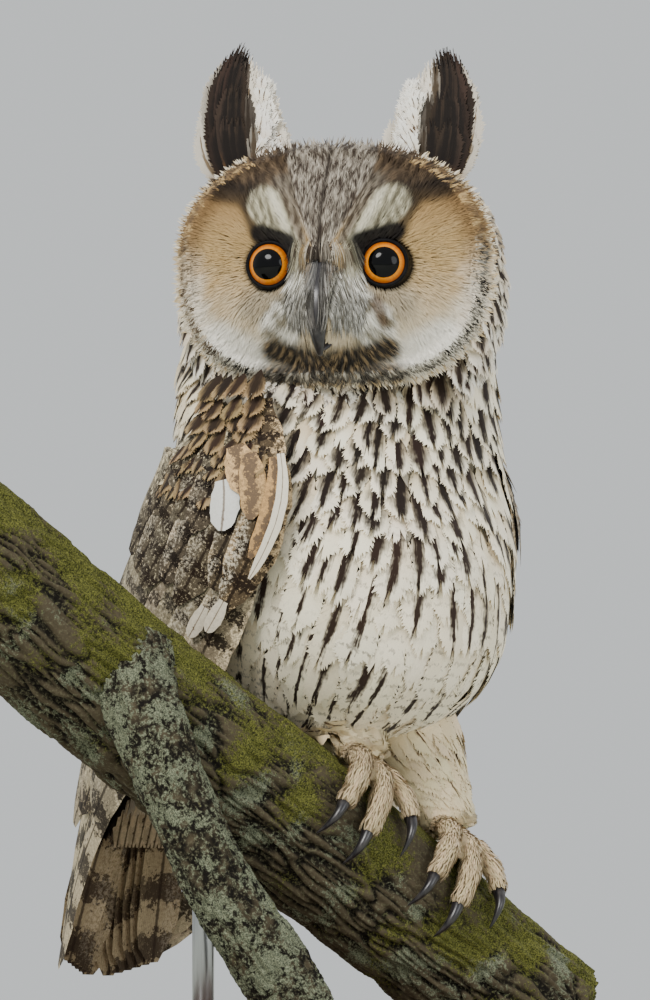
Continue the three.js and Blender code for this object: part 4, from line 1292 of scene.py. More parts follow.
def under_wing(here):
    """True where a root lies well under a folded wing."""
    hidden = np.zeros(len(here), bool)
    for name in SIDES:
        middle = wing_point(name, np.linspace(0.12, 0.9, 14), np.zeros(14), -6.0)
        half = through(wing_halves, np.linspace(0.12, 0.9, 14))[:, 0]
        away = np.linalg.norm(here[:, None] - middle[None], axis=-1)
        hidden |= (away < half * 0.45).any(1)
    return hidden


soft_patterns = [plume_pattern(28, seed, 0.45, 0.2, 0.26, 0.9) for seed in range(5)]
long_patterns = [plume_pattern(36, seed + 9, 0.45, 0.2, 0.18, 0.92) for seed in range(5)]


def breast_spacing(at):
    return 5.6 + 2.0 * smooth((at[:, 0] - 0.3) / 0.3)


def body_roots(low, high, spacing, tries, seed, tall):
    keep = lambda at, here: (over_skin(here) > np.where(at[:, 0] > 0.1, -4.0, 1.2)) & ~under_wing(here)
    return scatter(body, low, high, spacing, tries, seed, keep, tall)


front = body_roots((0.03, -2.0), (0.97, 1.75), breast_spacing, 24000, 21, 1.5)
share, angle = front[:, 0], front[:, 1]
chance = rng.random(len(front))
low = smooth((share - 0.26) / 0.2)
flank = smooth((np.abs(angle + 0.1) - 1.0) / 0.5)
n = len(front)
ground = mixed(varied(tone("#fbf1da"), n, 0.05, 5), tone("#d8c294"), 0.3 * flank + 0.22 * rng.random(n))
mark = mixed(varied(tone("#20150f"), n, 0.35, 6), tone("#34241a"), low * 0.5)
middle = hill(angle + 0.35, 0.75) * (1 - low)
streaked = rng.random(n) < 0.8 - 0.32 * low
streak = (0.42 - 0.24 * low + 0.26 * middle) * rng.uniform(0.55, 1.35, n) * streaked
marks = numbers(streak, low * rng.uniform(0.0, 0.7, n), chance, 0.5 - 0.3 * low)
length, width = 21 + 15 * low, 11.0 + 4.5 * low
breast_parts = [
    ("coat_breast", share < 0.4, soft_patterns, 31),
    ("coat_belly_right", (share >= 0.4) & (angle < -0.2), long_patterns, 32),
    ("coat_belly_left", (share >= 0.4) & (angle >= -0.2), long_patterns, 34),
]
for title, part, patterns, seed in breast_parts:
    breast = Coat()
    grow(breast, body, patterns, front[part], body_way(front)[part], length[part], width[part],
         (-1.8 + 0.7 * streaked[part], 0.5 + 1.2 * streaked[part]), body_bake, ground[part], mark[part],
         marks[part], seed, drop=0.2, clear=1.0)
    breast.write(title, plume_coat, "body_feathers", ["neck", "torso"])
print("breast feathers:", len(front))

# %% [markdown]
# ## Throat
# Under the chin long soft feathers hang from the rim of the face over the neck, so that
# head and breast run into each other with no step.

# %% Throat feathers
def hanging(start, ahead, length, steps, height):
    """Straight lines from their starts, lifted over the skin where it is in the way."""
    t = np.linspace(0, 1, steps + 1)[None, :, None]
    points = start[:, None] + unit(ahead)[:, None] * t * length[:, None, None]
    out = unit(start - (start.mean(0) + np.array([0, 25.0, 0])))
    out[:, 2] = 0
    return settled(points, np.broadcast_to(unit(out)[:, None], points.shape), height)


throat = Coat()
draw = np.random.default_rng(36)
n = 420
turn = np.radians(draw.uniform(-212, 32, n))
deep = draw.random(n)
start = head_point(np.radians(84) + deep * np.radians(30), turn, -1.2)
low = smooth((0.25 - np.sin(turn)) / 0.5)
ahead = stack(0.12 * np.cos(turn), -0.05, -1.0) + draw.normal(0, 0.06, (n, 3))
points, normals = hanging(start, ahead, draw.uniform(12, 19, n) * (0.6 + 0.4 * low), 5,
                          1.4 + 1.2 * draw.random())
ground = mixed(varied(tone("#efe8da"), n, 0.06, 37), tone("#cfae80"), 0.45 * draw.random(n))
mark = varied(tone("#2a1c14"), n, 0.3, 38)
marks = numbers(draw.uniform(0.35, 0.8, n) * (draw.random(n) < 0.97), 0.1, draw.random(n), 0.5)
for i in range(n):
    pattern = soft_patterns[draw.integers(5)]
    laid = lay(pattern, points[i : i + 1], normals[i : i + 1], draw.uniform(7, 10), (-1.0, 1.0), 0.2,
               draw.normal(0, 0.12), draw.normal(0, 0.8))
    throat.add(pattern, laid, np.array([[turn[i] / FULL_TURN + 0.65, 0.2 + 0.6 * deep[i]]]), ground[i],
               mark[i], marks[i])
remember(points[:, 1], ground)
throat.write("coat_throat", plume_coat, "body_feathers")

# %% [markdown]
# ## Belly fringe
# A perched owl lets its belly feathers fall over its legs. They are the longest and
# softest of the coat, and hang nearly straight from the lower belly.

# %% Belly fringe
fringe = Coat()
keep = lambda at, here: (over_skin(here) > 1.0) & ~under_wing(here)
at = scatter(body, (0.66, -2.3), (0.97, 1.9), 6.0, 6000, 43, keep)
here, out, _, _ = body.read(at)
n = len(at)
back_down = placed(np.array([0.0, 0.25, -1.0]), BODY_TURN, (0, 0, 0))
points, normals = hanging(here - 3.0 * out, back_down + rng.normal(0, 0.08, (n, 3)) + 0.1 * out,
                          rng.uniform(30, 46, n), 6, 1.6)
ground = mixed(varied(tone("#efe9db"), n, 0.05, 44), tone("#d9c39a"), 0.5 * rng.random(n))
mark = varied(tone("#3a291d"), n, 0.3, 45)
marks = numbers(rng.uniform(0.06, 0.14, n) * (rng.random(n) < 0.6), 0.2 * rng.random(n), rng.random(n), 0.3)
for i in range(n):
    pattern = long_patterns[i % 5]
    laid = lay(pattern, points[i : i + 1], normals[i : i + 1], rng.uniform(11, 15), (0.0, 0.8), 0.2,
               rng.normal(0, 0.15), rng.normal(0, 1.0))
    fringe.add(pattern, laid, body_bake(at[i : i + 1]), ground[i], mark[i], marks[i])
remember(points[:, 1], ground)
fringe.write("coat_belly_fringe", plume_coat, "body_feathers")

# %% Back
back_at = body_roots((0.02, 1.6), (0.9, 4.45), 7.5, 10000, 41, 1.2)
mantle = Coat()
n = len(back_at)
ground = varied(tone("#a8977b"), n, 0.2, 7)
mark = varied(tone("#3a2b20"), n, 0.25, 8)
marks = numbers(rng.uniform(0.35, 0.75, n), 0.15, rng.random(n), 0.0)
mantle_patterns = [vane_pattern(9, 4, 0.42, 2.0, 1.0, seed) for seed in range(5)]
grow(mantle, body, mantle_patterns, back_at, body_way(back_at), 24.0, 14.0, (-3.0, 0.9), body_bake,
     ground, mark, marks, 33, drop=0.2, clear=1.0)
mantle.write("coat_back", vane_coat, "body_feathers")

# %% [markdown]
# ## Crown, nape and cheeks
# Behind the face the head has short soft feathers that run back from the forehead and
# down the nape. They are grey-brown on the crown and more buff on the neck, each with
# a dark shaft.

# %% Head feathers
def head_way(at):
    here, _, _, _ = head.read(at)
    local = from_head_place(here)
    behind = smooth((local[:, 1] + 12) / 55)
    low = smooth(-local[:, 2] / 30)
    ahead = stack(0.25 * np.sign(local[:, 0]) * (1 - behind), 1 - 0.9 * behind - 0.3 * low,
                  -0.1 - 1.1 * behind - 0.9 * low)
    return placed(unit(ahead), HEAD_TURN, (0, 0, 0))


def head_bake(at):
    reach = np.clip(at[:, 0] / np.pi, 0, 1) / 2
    return np.stack([0.5 + reach * np.cos(at[:, 1]), 0.5 + reach * np.sin(at[:, 1])], -1)


small_patterns = [plume_pattern(9, seed + 30, 0.5, 0.15, 0.25) for seed in range(5)]
keep = lambda at, here: over_skin(here) > 0.8
at = scatter(head, (1.36, -np.pi), (3.1, np.pi), 3.6, 24000, 51, keep)
n = len(at)
local = from_head_place(head.read(at)[0])
low = smooth((-local[:, 2] - 4) / 26)
ground = mixed(varied(tone("#a2937d"), n, 0.22, 9), tone("#c7a678"), 0.2 + 0.6 * low)
mark = varied(tone("#2b2019"), n, 0.3, 10)
marks = numbers(rng.uniform(0.2, 0.55, n), 0.5 * (1 - low) * rng.random(n), rng.random(n), 0.5)
cap = Coat()
grow(cap, head, small_patterns, at, head_way(at), 11.0, 6.0, (-1.8, 0.7), head_bake, ground, mark, marks, 52,
     steps=4, drop=0.15, clear=0.7)
cap.write("coat_head", plume_coat, "body_feathers", ["head"])
print("feathers on the back of the head:", n)

# %% [markdown]
# ## The rim of the face
# Stiff short feathers edge the facial disc, flecked black, ochre and white. They are
# boldest low on the sides and under the chin, and fade to brown beside the ears.

# %% Rim
rim = Coat()
draw = np.random.default_rng(60)
at = jittered((-62, -52), (62, 46), 0.8, 61)
share = face_share(at[:, 0], at[:, 1])
turn = np.arctan2(at[:, 1], np.abs(at[:, 0]))
at, turn, share = (v[(share > 0.925) & (share < 1.02) & (turn < np.radians(50))] for v in (at, turn, share))
n = len(at)
ahead = placed(stack(at[:, 0], 18.0, at[:, 1]) + draw.normal(0, 7, (n, 3)), HEAD_TURN, (0, 0, 0))
points, normals = walk(face, at, ahead, draw.uniform(3.0, 5.2, n), 3)
laid = lay(strand, points, normals, 0.95 * draw.uniform(0.7, 1.3, n), (-0.6, draw.uniform(0.1, 0.8, n)),
           0.0, draw.normal(0, 0.3, n), draw.normal(0, 0.4, n))
local = from_head_place(laid[..., :3])
x, z = local[..., 0], local[..., 2]
bold = 1.25 * smooth((13 - z) / 16) * (0.5 + 0.5 * smooth((x + 5) / 12) + 0.4 * smooth((-z - 32) / 8))
spots = wobble(x, z, 1.0, 2.0) + 0.6 * wobble(x, z, 2.3, 9.0) + 0.3 * draw.normal(0, 1, (n, 1))
line_in = hill((share - 0.962)[:, None], 0.034)
fleck = mixed(tone("#171210"), tone("#e8dfce"), smooth(0.5 + 0.9 * spots))
dark_line = mixed(fleck, tone("#191310"), 0.85 * line_in)
outside = mixed(tone("#c2ab83"), tone("#e2d8c3"), smooth(0.5 + spots))
soft_edge = mixed(mixed(tone("#6f573a"), BUFF, smooth(0.5 + spots)), outside,
                  smooth((share[:, None] - 0.985) / 0.02) * np.ones_like(x))
colour = mixed(soft_edge, dark_line, np.minimum(1, bold * smooth((0.998 - share[:, None]) / 0.015)))
remember(points[:, 0], colour[:, 0])
rim.add(strand, laid, face_bake(at), colour, DARK, np.zeros(4))
rim.write("coat_face_rim", strand_coat, "face_feathers")

# %% [markdown]
# ## Ear tufts
# The tufts are not ears but crests of long feathers over the brows. The middle ones are
# nearly black, the outer edge is thin and cream, and the inner edge is white and loose,
# with barbs that reach down to the crown. Their base is ochre.

# %% Ear tufts
EAR_ROOT, EAR_MIDDLE, EAR_TIP = np.array([31.0, -7, 33]), np.array([45.0, -9, 60]), np.array([35.0, -1, 83])
EAR_LENGTH = {"right": 1.0, "left": 0.93}
ear_patterns = [plume_pattern(30, seed + 70, 0.3, 0.2, 0.14) for seed in range(4)]
fluff_patterns = [plume_pattern(16, seed + 75, 0.4, 0.5, 0.3) for seed in range(4)]


def ear_line(place, reach, depth):
    cup = 0.25 - place ** 2
    root = EAR_ROOT + stack(place * 16.5, 4 - 6 * cup + depth, -7)
    middle = root + (EAR_MIDDLE - root) * reach[:, None] + stack(place * 22, 9 * cup - 2 + depth * 0.5, -2)
    tip = middle + (EAR_TIP - middle) * reach[:, None] + stack(place * 9.24, depth * 0.3, 0)
    return root, middle, tip


def curve(root, middle, tip, steps=8):
    t = np.linspace(0, 1, steps)[None, :, None]
    return root[:, None] * (1 - t) ** 2 + middle[:, None] * 2 * t * (1 - t) + tip[:, None] * t ** 2


for name, side in SIDES.items():
    tuft = Coat()
    draw = np.random.default_rng(80 + side)
    mirror = np.array([side, 1, 1])
    for depth, count, short in ((2.2, 9, 0.96), (0.3, 11, 1.0), (-1.6, 11, 0.92), (-2.6, 9, 0.62),
                                (-3.0, 9, 0.4), (2.8, 8, 0.6)):
        place = np.linspace(0.5, -0.5, count) + draw.normal(0, 0.02, count)
        reach = EAR_LENGTH[name] - 0.62 * np.maximum(0, 0.1 - place) ** 1.2
        reach = reach - 0.5 * np.maximum(0, place - 0.15)
        reach = reach * short * draw.uniform(0.95, 1.02, count)
        points = curve(*ear_line(place, reach, depth))
        outward = np.broadcast_to(unit(stack(-1.1 * place, -1.0, 0.1))[:, None], points.shape)
        points, outward = to_head_place(points * mirror), placed(outward * mirror, HEAD_TURN, (0, 0, 0))
        inner, outer = smooth((-place - 0.1) / 0.12), 0.75 * smooth((place - 0.44) / 0.05)
        base = mixed(varied(tone("#33271f"), count, 0.35, 83), tone("#e2d9c9"), np.maximum(inner, outer))
        mark = mixed(np.broadcast_to(tone("#17110e"), (count, 3)), tone("#8a765c"), np.maximum(inner, outer))
        marks = numbers(0.6 - 0.55 * np.maximum(inner, outer), 0.0, draw.random(count), 0.0)
        root_at = np.stack([0.5 + place * 0.9, np.full(count, 0.5 + depth * 0.1)], -1)
        remember(points[:, 0], tone("#a9763f"))
        for i in range(count):
            pattern = ear_patterns[draw.integers(len(ear_patterns))]
            laid = lay(pattern, points[i : i + 1], outward[i : i + 1], 8.5, (0.0, 0.0), 0.25,
                       draw.normal(0, 0.12), draw.normal(0, 1.0))
            ochre = smooth((0.34 - pattern[0]) / 0.2) * (0.85 if depth < 0 else 0.4)
            tuft.add(pattern, laid, np.clip(root_at[i : i + 1], 0, 1),
                     mixed(base[i], tone("#b07d44"), ochre)[None], mark[i], marks[i])
    count = 170
    t, deep = draw.random(count), draw.uniform(-3.2, 2.5, count)
    edge = ear_line(np.full(count, -0.42), np.full(count, 0.62 * EAR_LENGTH[name]), deep)
    start = curve(*edge, 24)[np.arange(count), (t * 20).astype(int)]
    start[:, 0] += draw.uniform(0, 7, count) * (1 - 0.8 * t)
    length = (14 - 6 * t) * draw.uniform(0.7, 1.15, count)
    lean = stack(-0.6 + 0.4 * t + draw.normal(0, 0.14, count), draw.normal(-0.12, 0.15, count), 0.9)
    end = start + unit(lean) * length[:, None]
    points = curve(start, (start + end) / 2 + [0, 0, 1.5], end)
    outward = np.broadcast_to(unit(stack(np.full(count, 0.3), -1.0, 0.1))[:, None], points.shape)
    points, outward = to_head_place(points * mirror), placed(outward * mirror, HEAD_TURN, (0, 0, 0))
    white = varied(tone("#f3efe6"), count, 0.06, 85)
    for i in range(count):
        pattern = fluff_patterns[draw.integers(4)]
        laid = lay(pattern, points[i : i + 1], outward[i : i + 1], 5.0, (0.4, 0.8), 0.2,
                   draw.normal(0, 0.3), draw.normal(0, 1.0))
        tuft.add(pattern, laid, np.array([[0.04, t[i] * 0.9]]), white[i], BROWN,
                 np.array([0.06, 0, t[i], 0.3]))
    tuft.write("ear_tuft_" + name + "_feathers", plume_coat, "tuft_feathers", ["ear_tuft_" + name])

# %% [markdown]
# ## Wings
# A folded wing shows its feathers in tiers, like tiles: small coverts on the shoulder,
# larger ones below, then the long flight feathers. Each tier is a fan of lanes over
# the wing's own surface, from a first root and tip to a last root and tip.

# %% Tiers of the wing
firm_patterns = [vane_pattern(16, 6, 0.22, 2.4, 0.8, seed) for seed in range(5)]
covert_patterns = [vane_pattern(12, 6, 0.42, 2.1, 1.0, seed + 8) for seed in range(6)]
wing_tiers = [
    # title, count, width, lift at root and tip, first and last root,
    #     first and last tip, pattern, pale, bars, white edge
    ("primaries", 9, 13.5, (-1.4, 0.2), (0.36, 0.1), (0.42, 0.65),
     (0.83, -0.2), (1.0, 0.2), firm_patterns, 0.2, 0.6, 0.1),
    ("secondaries", 7, 20.0, (-1.0, 1.9), (0.36, -1.1), (0.3, 0.5),
     (0.78, -0.8), (0.68, 0.45), firm_patterns, 0.2, 0.4, 0.1),
    ("greater coverts", 8, 19.0, (0.2, 3.3), (0.28, -0.8), (0.2, 0.78),
     (0.52, -0.7), (0.42, 0.88), covert_patterns, 0.2, 0.3, 0.3),
    ("median coverts", 7, 18.0, (0.4, 4.2), (0.14, -0.72), (0.06, 0.76),
     (0.34, -0.7), (0.27, 0.86), covert_patterns, 0.2, 0.1, 0.3),
    ("upper median coverts", 7, 16.5, (0.4, 4.6), (0.08, -0.7), (0.0, 0.72),
     (0.25, -0.68), (0.19, 0.8), covert_patterns, 0.15, 0.1, 0.2),
    ("lesser coverts", 8, 13.0, (0.0, 4.2), (0.03, -0.6), (0.0, 0.66),
     (0.18, -0.62), (0.13, 0.72), covert_patterns, 0.15, 0.1, 0.0),
    ("scapulars", 8, 18.0, (0.6, 4.4), (0.04, -0.9), (0.34, -1.0),
     (0.3, -1.12), (0.64, -1.45), covert_patterns, 0.3, 0.2, 0.4),
    ("inner scapulars", 8, 17.0, (0.6, 4.0), (0.02, -0.7), (0.26, -1.1),
     (0.24, -0.9), (0.5, -1.4), covert_patterns, 0.3, 0.25, 0.2),
]
single_feathers = [
    # Loose feathers of the near wing that stand out: shade, width, pale share, lift, root and tip.
    ("#e0b781", 12.0, 0.55, 5.0, (0.09, 0.3), (0.15, 0.56)),
    ("#cda671", 10.0, 0.5, 5.2, (0.1, 0.55), (0.17, 0.72)),
    ("#dcdbd4", 11.5, 1.0, 6.0, (0.142, 0.24), (0.192, 0.46)),
    ("#c69c66", 7.0, 0.6, 5.0, (0.1, 0.98), (0.2, 0.86)),
    ("#e4dac6", 4.6, 1.0, 5.6, (0.095, 1.1), (0.215, 0.95)),
    ("#ddd2bd", 6.0, 0.9, 5.0, (0.27, 0.66), (0.312, 0.69)),
    ("#ddd2bd", 6.0, 0.9, 5.0, (0.25, 0.8), (0.29, 0.82)),
]


def lanes(first, last, share):
    """Places in lanes from the first to the last."""
    first, last = np.array(first), np.array(last)
    return first + share[:, None] * (last - first)


def wing_bake(p, q):
    return np.stack([np.clip(q / 4 + 0.5, 0, 1), np.clip(p, 0, 1)], -1)


def lowered(points, most):
    """Brings points that stand more than `most` over the skin down to it."""
    points = points.copy()
    for i in np.ndindex(points.shape[:2]):
        near = flesh.find_nearest(Vector(points[i] * MM))[0]
        out = points[i] - np.array(near) / MM
        high = np.linalg.norm(out)
        if high > most:
            points[i] -= out * (high - most) / high
    return points


for name, side in SIDES.items():
    wing = Coat()
    draw = np.random.default_rng(100 + side)
    for title, count, wide, lifts, root_a, root_b, tip_a, tip_b, patterns, pale, bars, white in wing_tiers:
        lane = np.linspace(0, 1, count)
        t = np.linspace(0, 1, 8)
        roots = lanes(root_a, root_b, lane) + draw.normal(0, 0.006, (count, 2))
        tips = lanes(tip_a, tip_b, lane) + draw.normal(0, 0.01, (count, 2))
        places = roots[:, None] + (tips - roots)[:, None] * t[None, :, None]
        lift = lifts[0] + (lifts[1] - lifts[0]) * t[None] + draw.uniform(-0.3, 0.3, (count, 1))
        points = wing_point(name, places[..., 0], places[..., 1], lift)
        normals = wings[name].read(places)[1]
        if "scapulars" in title:
            points = lowered(points, 5.5)
        front, behind = smooth((tips[:, 1] - 0.4) / 0.35), smooth((-tips[:, 1] - 1.1) / 0.2)
        warm = front * smooth((0.45 - tips[:, 0]) / 0.2)
        ground = mixed(varied(tone("#e6d5b2"), count, 0.1, 110 + side), tone("#d9b27c"), 0.6 * warm)
        mark = varied(tone("#1a0f07"), count, 0.3, 120 + side)
        clear_share = np.clip(pale * draw.uniform(0.4, 1.3, count) + 0.15 * front + 0.1 * behind, 0, 1)
        edged = np.clip(white * draw.uniform(0.0, 1.5, count) + 0.2 * front, 0, 1)
        marks = numbers(clear_share, bars, draw.random(count), edged)
        remember(points[:, 2], mark)
        roll = -0.16 * side if title != "primaries" else -0.1 * side
        for i in range(count):
            pattern = patterns[draw.integers(len(patterns))]
            laid = lay(pattern, points[i : i + 1], normals[i : i + 1], wide * draw.uniform(0.94, 1.06),
                       (0.0, 0.0), 0.12, roll, draw.normal(0, 0.6))
            wing.add(pattern, laid, wing_bake(roots[i : i + 1, 0], roots[i : i + 1, 1]), ground[i], mark[i],
                     marks[i])
    if name == "right":
        for shade, wide, pale, lift, root, tip in single_feathers:
            places = np.array(root) + (np.array(tip) - np.array(root)) * t[:, None]
            points = wing_point(name, places[:, 0], places[:, 1], lift + 0.6 * t)[None]
            laid = lay(covert_patterns[0], points, wings[name].read(places)[1][None], wide, (0.0, 0.0),
                       0.12, 0.16, 0.3)
            wing.add(covert_patterns[0], laid, wing_bake(*np.array(root)[:, None]), tone(shade),
                     tone("#6b5845"), np.array([pale, 0, 0, 0]))
    wing.write("wing_" + name + "_feathers", vane_coat, "wing_feathers", ["wing_" + name], soft=False)
    shoulder = Coat()
    at = scatter(wings[name], (-0.05, -1.35), (0.13, 0.8), 5.0, 1500, 150 + side)
    n = len(at)
    ground = varied(tone("#a68a63"), n, 0.2, 151)
    mark = varied(tone("#2a1c12"), n, 0.3, 152)
    marks = numbers(rng.uniform(0.5, 1.0, n), 0.6 * rng.random(n), rng.random(n), 0.3)
    grow(shoulder, wings[name], soft_patterns, at, np.broadcast_to(unit(np.array([0, 0.15, -1.0])), (n, 3)),
         14.0, 9.0, (0.8, 5.2 - 0.4 * side), lambda at: wing_bake(at[:, 0], at[:, 1]), ground, mark, marks,
         153, drop=0.15)
    shoulder.write("coat_shoulder_" + name, plume_coat, "body_feathers")

# %% [markdown]
# ## Tail
# Twelve tail feathers lie nearly on top of one another, barred brown and buff. Smaller
# coverts hide their roots above and below.

# %% Tail feathers
TAIL_ROOT, TAIL_TIP = np.array([0, 103.0, -72]), np.array([0, 150.0, -207])
tail_way = unit(TAIL_TIP - TAIL_ROOT)
tail_back = np.array([0, -tail_way[2], tail_way[1]])
tail = Coat()


def tail_line(start, control, end, facing=1):
    """Points and normals of one curved feather of the tail."""
    points = curve(start[None], control[None], end[None])
    normals = np.broadcast_to(tail_back * facing, points.shape)
    return to_body_place(points), placed(normals, BODY_TURN, (0, 0, 0))


for i in range(12):
    pair, side = i // 2, (-1 if i % 2 else 1)
    drop = -1.8 * pair - (0.9 if side > 0 else 0)
    start = TAIL_ROOT + [side * (2 + pair), 0, 0] + tail_back * drop * 0.9
    end = TAIL_TIP + [side * (4.5 + 3 * pair), 0, 1.6 * pair] + tail_back * drop
    middle = (start + end) / 2 + tail_back * 2.5
    control = 2 * middle - (start + end) / 2
    points, normals = tail_line(start, control, end)
    laid = lay(firm_patterns[i % 5], points, normals, 19.5, (0.0, 0.0), 0.06, 0.02 * side, 0.0)
    tail.add(firm_patterns[i % 5], laid, np.array([[0.5 + 0.03 * (i - 6), 0.2]]), tone("#c2b08e"),
             tone("#382b22"), np.array([0.35, 0.8, 0.3 + 0.02 * pair, 0.2]))
for row, (count, reach, spread) in enumerate(((7, 0.62, 15), (7, 0.48, 17), (6, 0.34, 17), (5, 0.2, 15))):
    for facing, lift in ((1, 3.2 + 1.0 * row), (-1, 11.5 + 1.0 * row)):
        for k in range(count):
            place = k / (count - 1) - 0.5
            start = TAIL_ROOT + [place * 26, 0, 6] + tail_back * facing * (2.0 if facing > 0 else 7.0)
            end = TAIL_ROOT + (TAIL_TIP - TAIL_ROOT) * reach + [place * spread * 1.4, 0, 0]
            end = end + tail_back * facing * lift * 0.8
            control = (start + end) / 2 + tail_back * facing * 3
            points, normals = tail_line(start, control, end, facing)
            pattern = covert_patterns[(k + row) % 6]
            laid = lay(pattern, points, normals, 12.0, (0.0, 0.0), 0.15, 0.05, 0.0)
            colour = tone("#a8936f") if facing > 0 else tone("#d9c8a8")
            if facing > 0:
                remember(points[0, :5], np.broadcast_to(colour * 0.4, (5, 3)))
            tail.add(pattern, laid, np.array([[0.5 + place * 0.8, 0.5 + 0.1 * row * facing]]), colour,
                     tone("#3a2b20"), np.array([0.5 if facing > 0 else 0.9, 0.3, 0.1 * k, 0.0]))
tail.write("tail_feathers", vane_coat, "wing_feathers", ["tail"], soft=False)

# %% [markdown]
# ## Feathered legs and toes
# A long-eared owl's legs and toes are feathered to the claws in short pale buff down.

# %% Leg and toe down
for name, side in SIDES.items():
    down, fuzz = Coat(), Coat()
    leg = Surface(lambda t, a, name=name: leg_point(name, t, a),
                  lambda t, a, name=name: leg_point(name, t, a, -6.0), (0, -9), (1, 9))
    at = scatter(leg, (0.0, -np.pi), (0.96, np.pi), 3.6, 2600, 130 + side)
    n = len(at)
    ahead = np.broadcast_to(unit(leg_point(name, np.array([0.0]), np.array([0.0]))
                                 - leg_point(name, np.array([1.0]), np.array([0.0])))[0], (n, 3))
    colour = varied(tone("#e0cfab"), n, 0.1, 131)
    marks = numbers(0.12 * (rng.random(n) < 0.3), 0.1 * rng.random(n), rng.random(n), 0.3)
    bake = lambda at: np.stack([np.clip(at[:, 1] / 7 + 0.5, 0, 1), np.clip(at[:, 0] / 2, 0, 1)], -1)
    high = smooth(at[:, 0] / 0.5)
    grow(down, leg, soft_patterns, at, ahead, 9.0 + 13 * high, 5.0 + 4 * high, (-1.4, 1.6), bake, colour,
         BROWN, marks, 132, steps=4, clear=0.6)
    for k, toe in enumerate(toes):
        foot = side * FOOT_SPREAD
        digit = Surface(lambda t, a, toe=toe, foot=foot: toe_point(toe, foot, t, a),
                        lambda t, a, toe=toe, foot=foot: toe_point(toe, foot, t, a, -3.0),
                        (-0.05, -9), (1.0, 9))
        at = scatter(digit, (0.0, -2.3), (0.93, 2.3), 0.85, 6000, 140 + k)
        n = len(at)
        middle = toe_place(toe, foot, at[:, 0], TOE_RADIUS)
        after = toe_place(toe, foot, at[:, 0] + 0.05, TOE_RADIUS)
        points, normals = walk(digit, at, unit(unit(after - middle) + rng.normal(0, 0.12, (n, 3))),
                               rng.uniform(3.2, 5.0, n), 3)
        laid = lay(strand, points, normals, 0.6 * rng.uniform(0.7, 1.3, n),
                   (-0.4, rng.uniform(0.1, 0.55, n)), 0.0, rng.normal(0, 0.3, n), rng.normal(0, 0.3, n))
        colour = varied(tone("#c9b490"), n, 0.14, 141)
        remember(points[:, 0], colour)
        bake = np.stack([np.clip(at[:, 1] / 14 + 0.25, 0, 1),
                         np.clip(0.52 + at[:, 0] / 10 + 0.11 * k, 0, 1)], -1)
        fuzz.add(strand, laid, bake, colour[:, None], BROWN, np.zeros(4))
    down.write("coat_leg_" + name, plume_coat, "body_feathers", ["leg_" + name])
    fuzz.write("coat_toes_" + name, strand_coat, "body_feathers", ["foot_" + name])

# %% [markdown]
# ## Painting the skin
# The roots have remembered their colours. Each point of the skin takes the mean of the
# nearest few, so the down between the feathers carries the same markings. All of it is
# then darkened by one factor, partly for the darker down and partly as painted shade.

# %% Skin
# Darkening of the skin: partly the down's darker tone, partly painted shade between the feathers.
DOWN_AND_GAP_SHADE = 0.62
roots = np.concatenate([points for points, _ in skin_samples])
shades = np.concatenate([colours for _, colours in skin_samples])
tree = KDTree(len(roots))
for i, point in enumerate(roots):
    tree.insert(point, i)
tree.balance()
under = np.array([np.mean([shades[i] for _, i, _ in tree.find_n(point, 3)], axis=0)
                  for point in mesh_points(skin_mesh)])
paint(skin_mesh, "ground", under * DOWN_AND_GAP_SHADE)
finished("owl_skin", skin_mesh, skin_coat, ["head", "neck", "torso"])

# %% [markdown]
# ## Eyes
# An owl's eye fills its socket and hardly turns. The ball has a clear bulge in front,
# and a ring round its middle keeps the distance from the axis, for the pupil and iris.
# A dark lid like a thin tube lies round it.

# %% Eyes and lids
def eye_frame(side):
    ahead = eye_axis(side)
    across = unit(np.cross(ahead, [0, 0, 1.0]))
    return eye_centre(side), ahead, across, np.cross(across, ahead)


def spin(bm, profile, steps, centre=(0, 0, 0), axis=(0, 0, 1)):
    """Turns a profile once round an axis and welds its seam."""
    bmesh.ops.spin(bm, geom=profile, cent=centre, axis=axis, dvec=(0, 0, 0), angle=FULL_TURN, steps=steps,
                   use_merge=True, use_duplicate=False)
    bmesh.ops.remove_doubles(bm, verts=bm.verts, dist=1e-6)


IRIS_REACH = 10.2
LID_RADIUS, LID_THICK, LID_SIDES = 8.3, 0.75, 12
for name, side in SIDES.items():
    centre, ahead, across, up = eye_frame(side)

    def eyeball(share, angle):
        polar = share * np.pi
        bulge = 0.5 * smooth((0.75 - polar) / 0.5)
        around = np.cos(angle)[:, None] * across + np.sin(angle)[:, None] * up
        out = np.cos(polar)[:, None] * ahead + np.sin(polar)[:, None] * around
        return centre + out * (EYE_RADIUS - 0.35 + bulge)[:, None]

    mesh = closed(rounded(64, 96, eyeball))
    from_centre = mesh_points(mesh) - centre
    flat = np.stack([from_centre @ across, from_centre @ up], -1)
    away = np.linalg.norm(flat, axis=1) / IRIS_REACH
    away = np.where(from_centre @ ahead > 0, away, 2.0)
    paint(mesh, "ring", np.stack([away, (np.arctan2(flat[:, 1], flat[:, 0]) / FULL_TURN) % 1, away * 0], -1))
    finished("eye_" + name + "_wet", mesh, eye_coat, ["eye_" + name])

    bm = bmesh.new()
    ring = []
    rise = np.sqrt(EYE_RADIUS ** 2 - LID_RADIUS ** 2) - 0.2
    for k in range(LID_SIDES):
        a = FULL_TURN * k / LID_SIDES
        high, wide = rise + LID_THICK * 0.9 * np.sin(a), LID_RADIUS + LID_THICK * np.cos(a)
        ring.append(bm.verts.new(Vector((centre + ahead * high + across * wide) * MM)))
    edges = [bm.edges.new((ring[k], ring[(k + 1) % LID_SIDES])) for k in range(LID_SIDES)]
    spin(bm, ring + edges, 72, centre * MM, ahead)
    finished("lid_" + name, closed(bm), lid_coat)

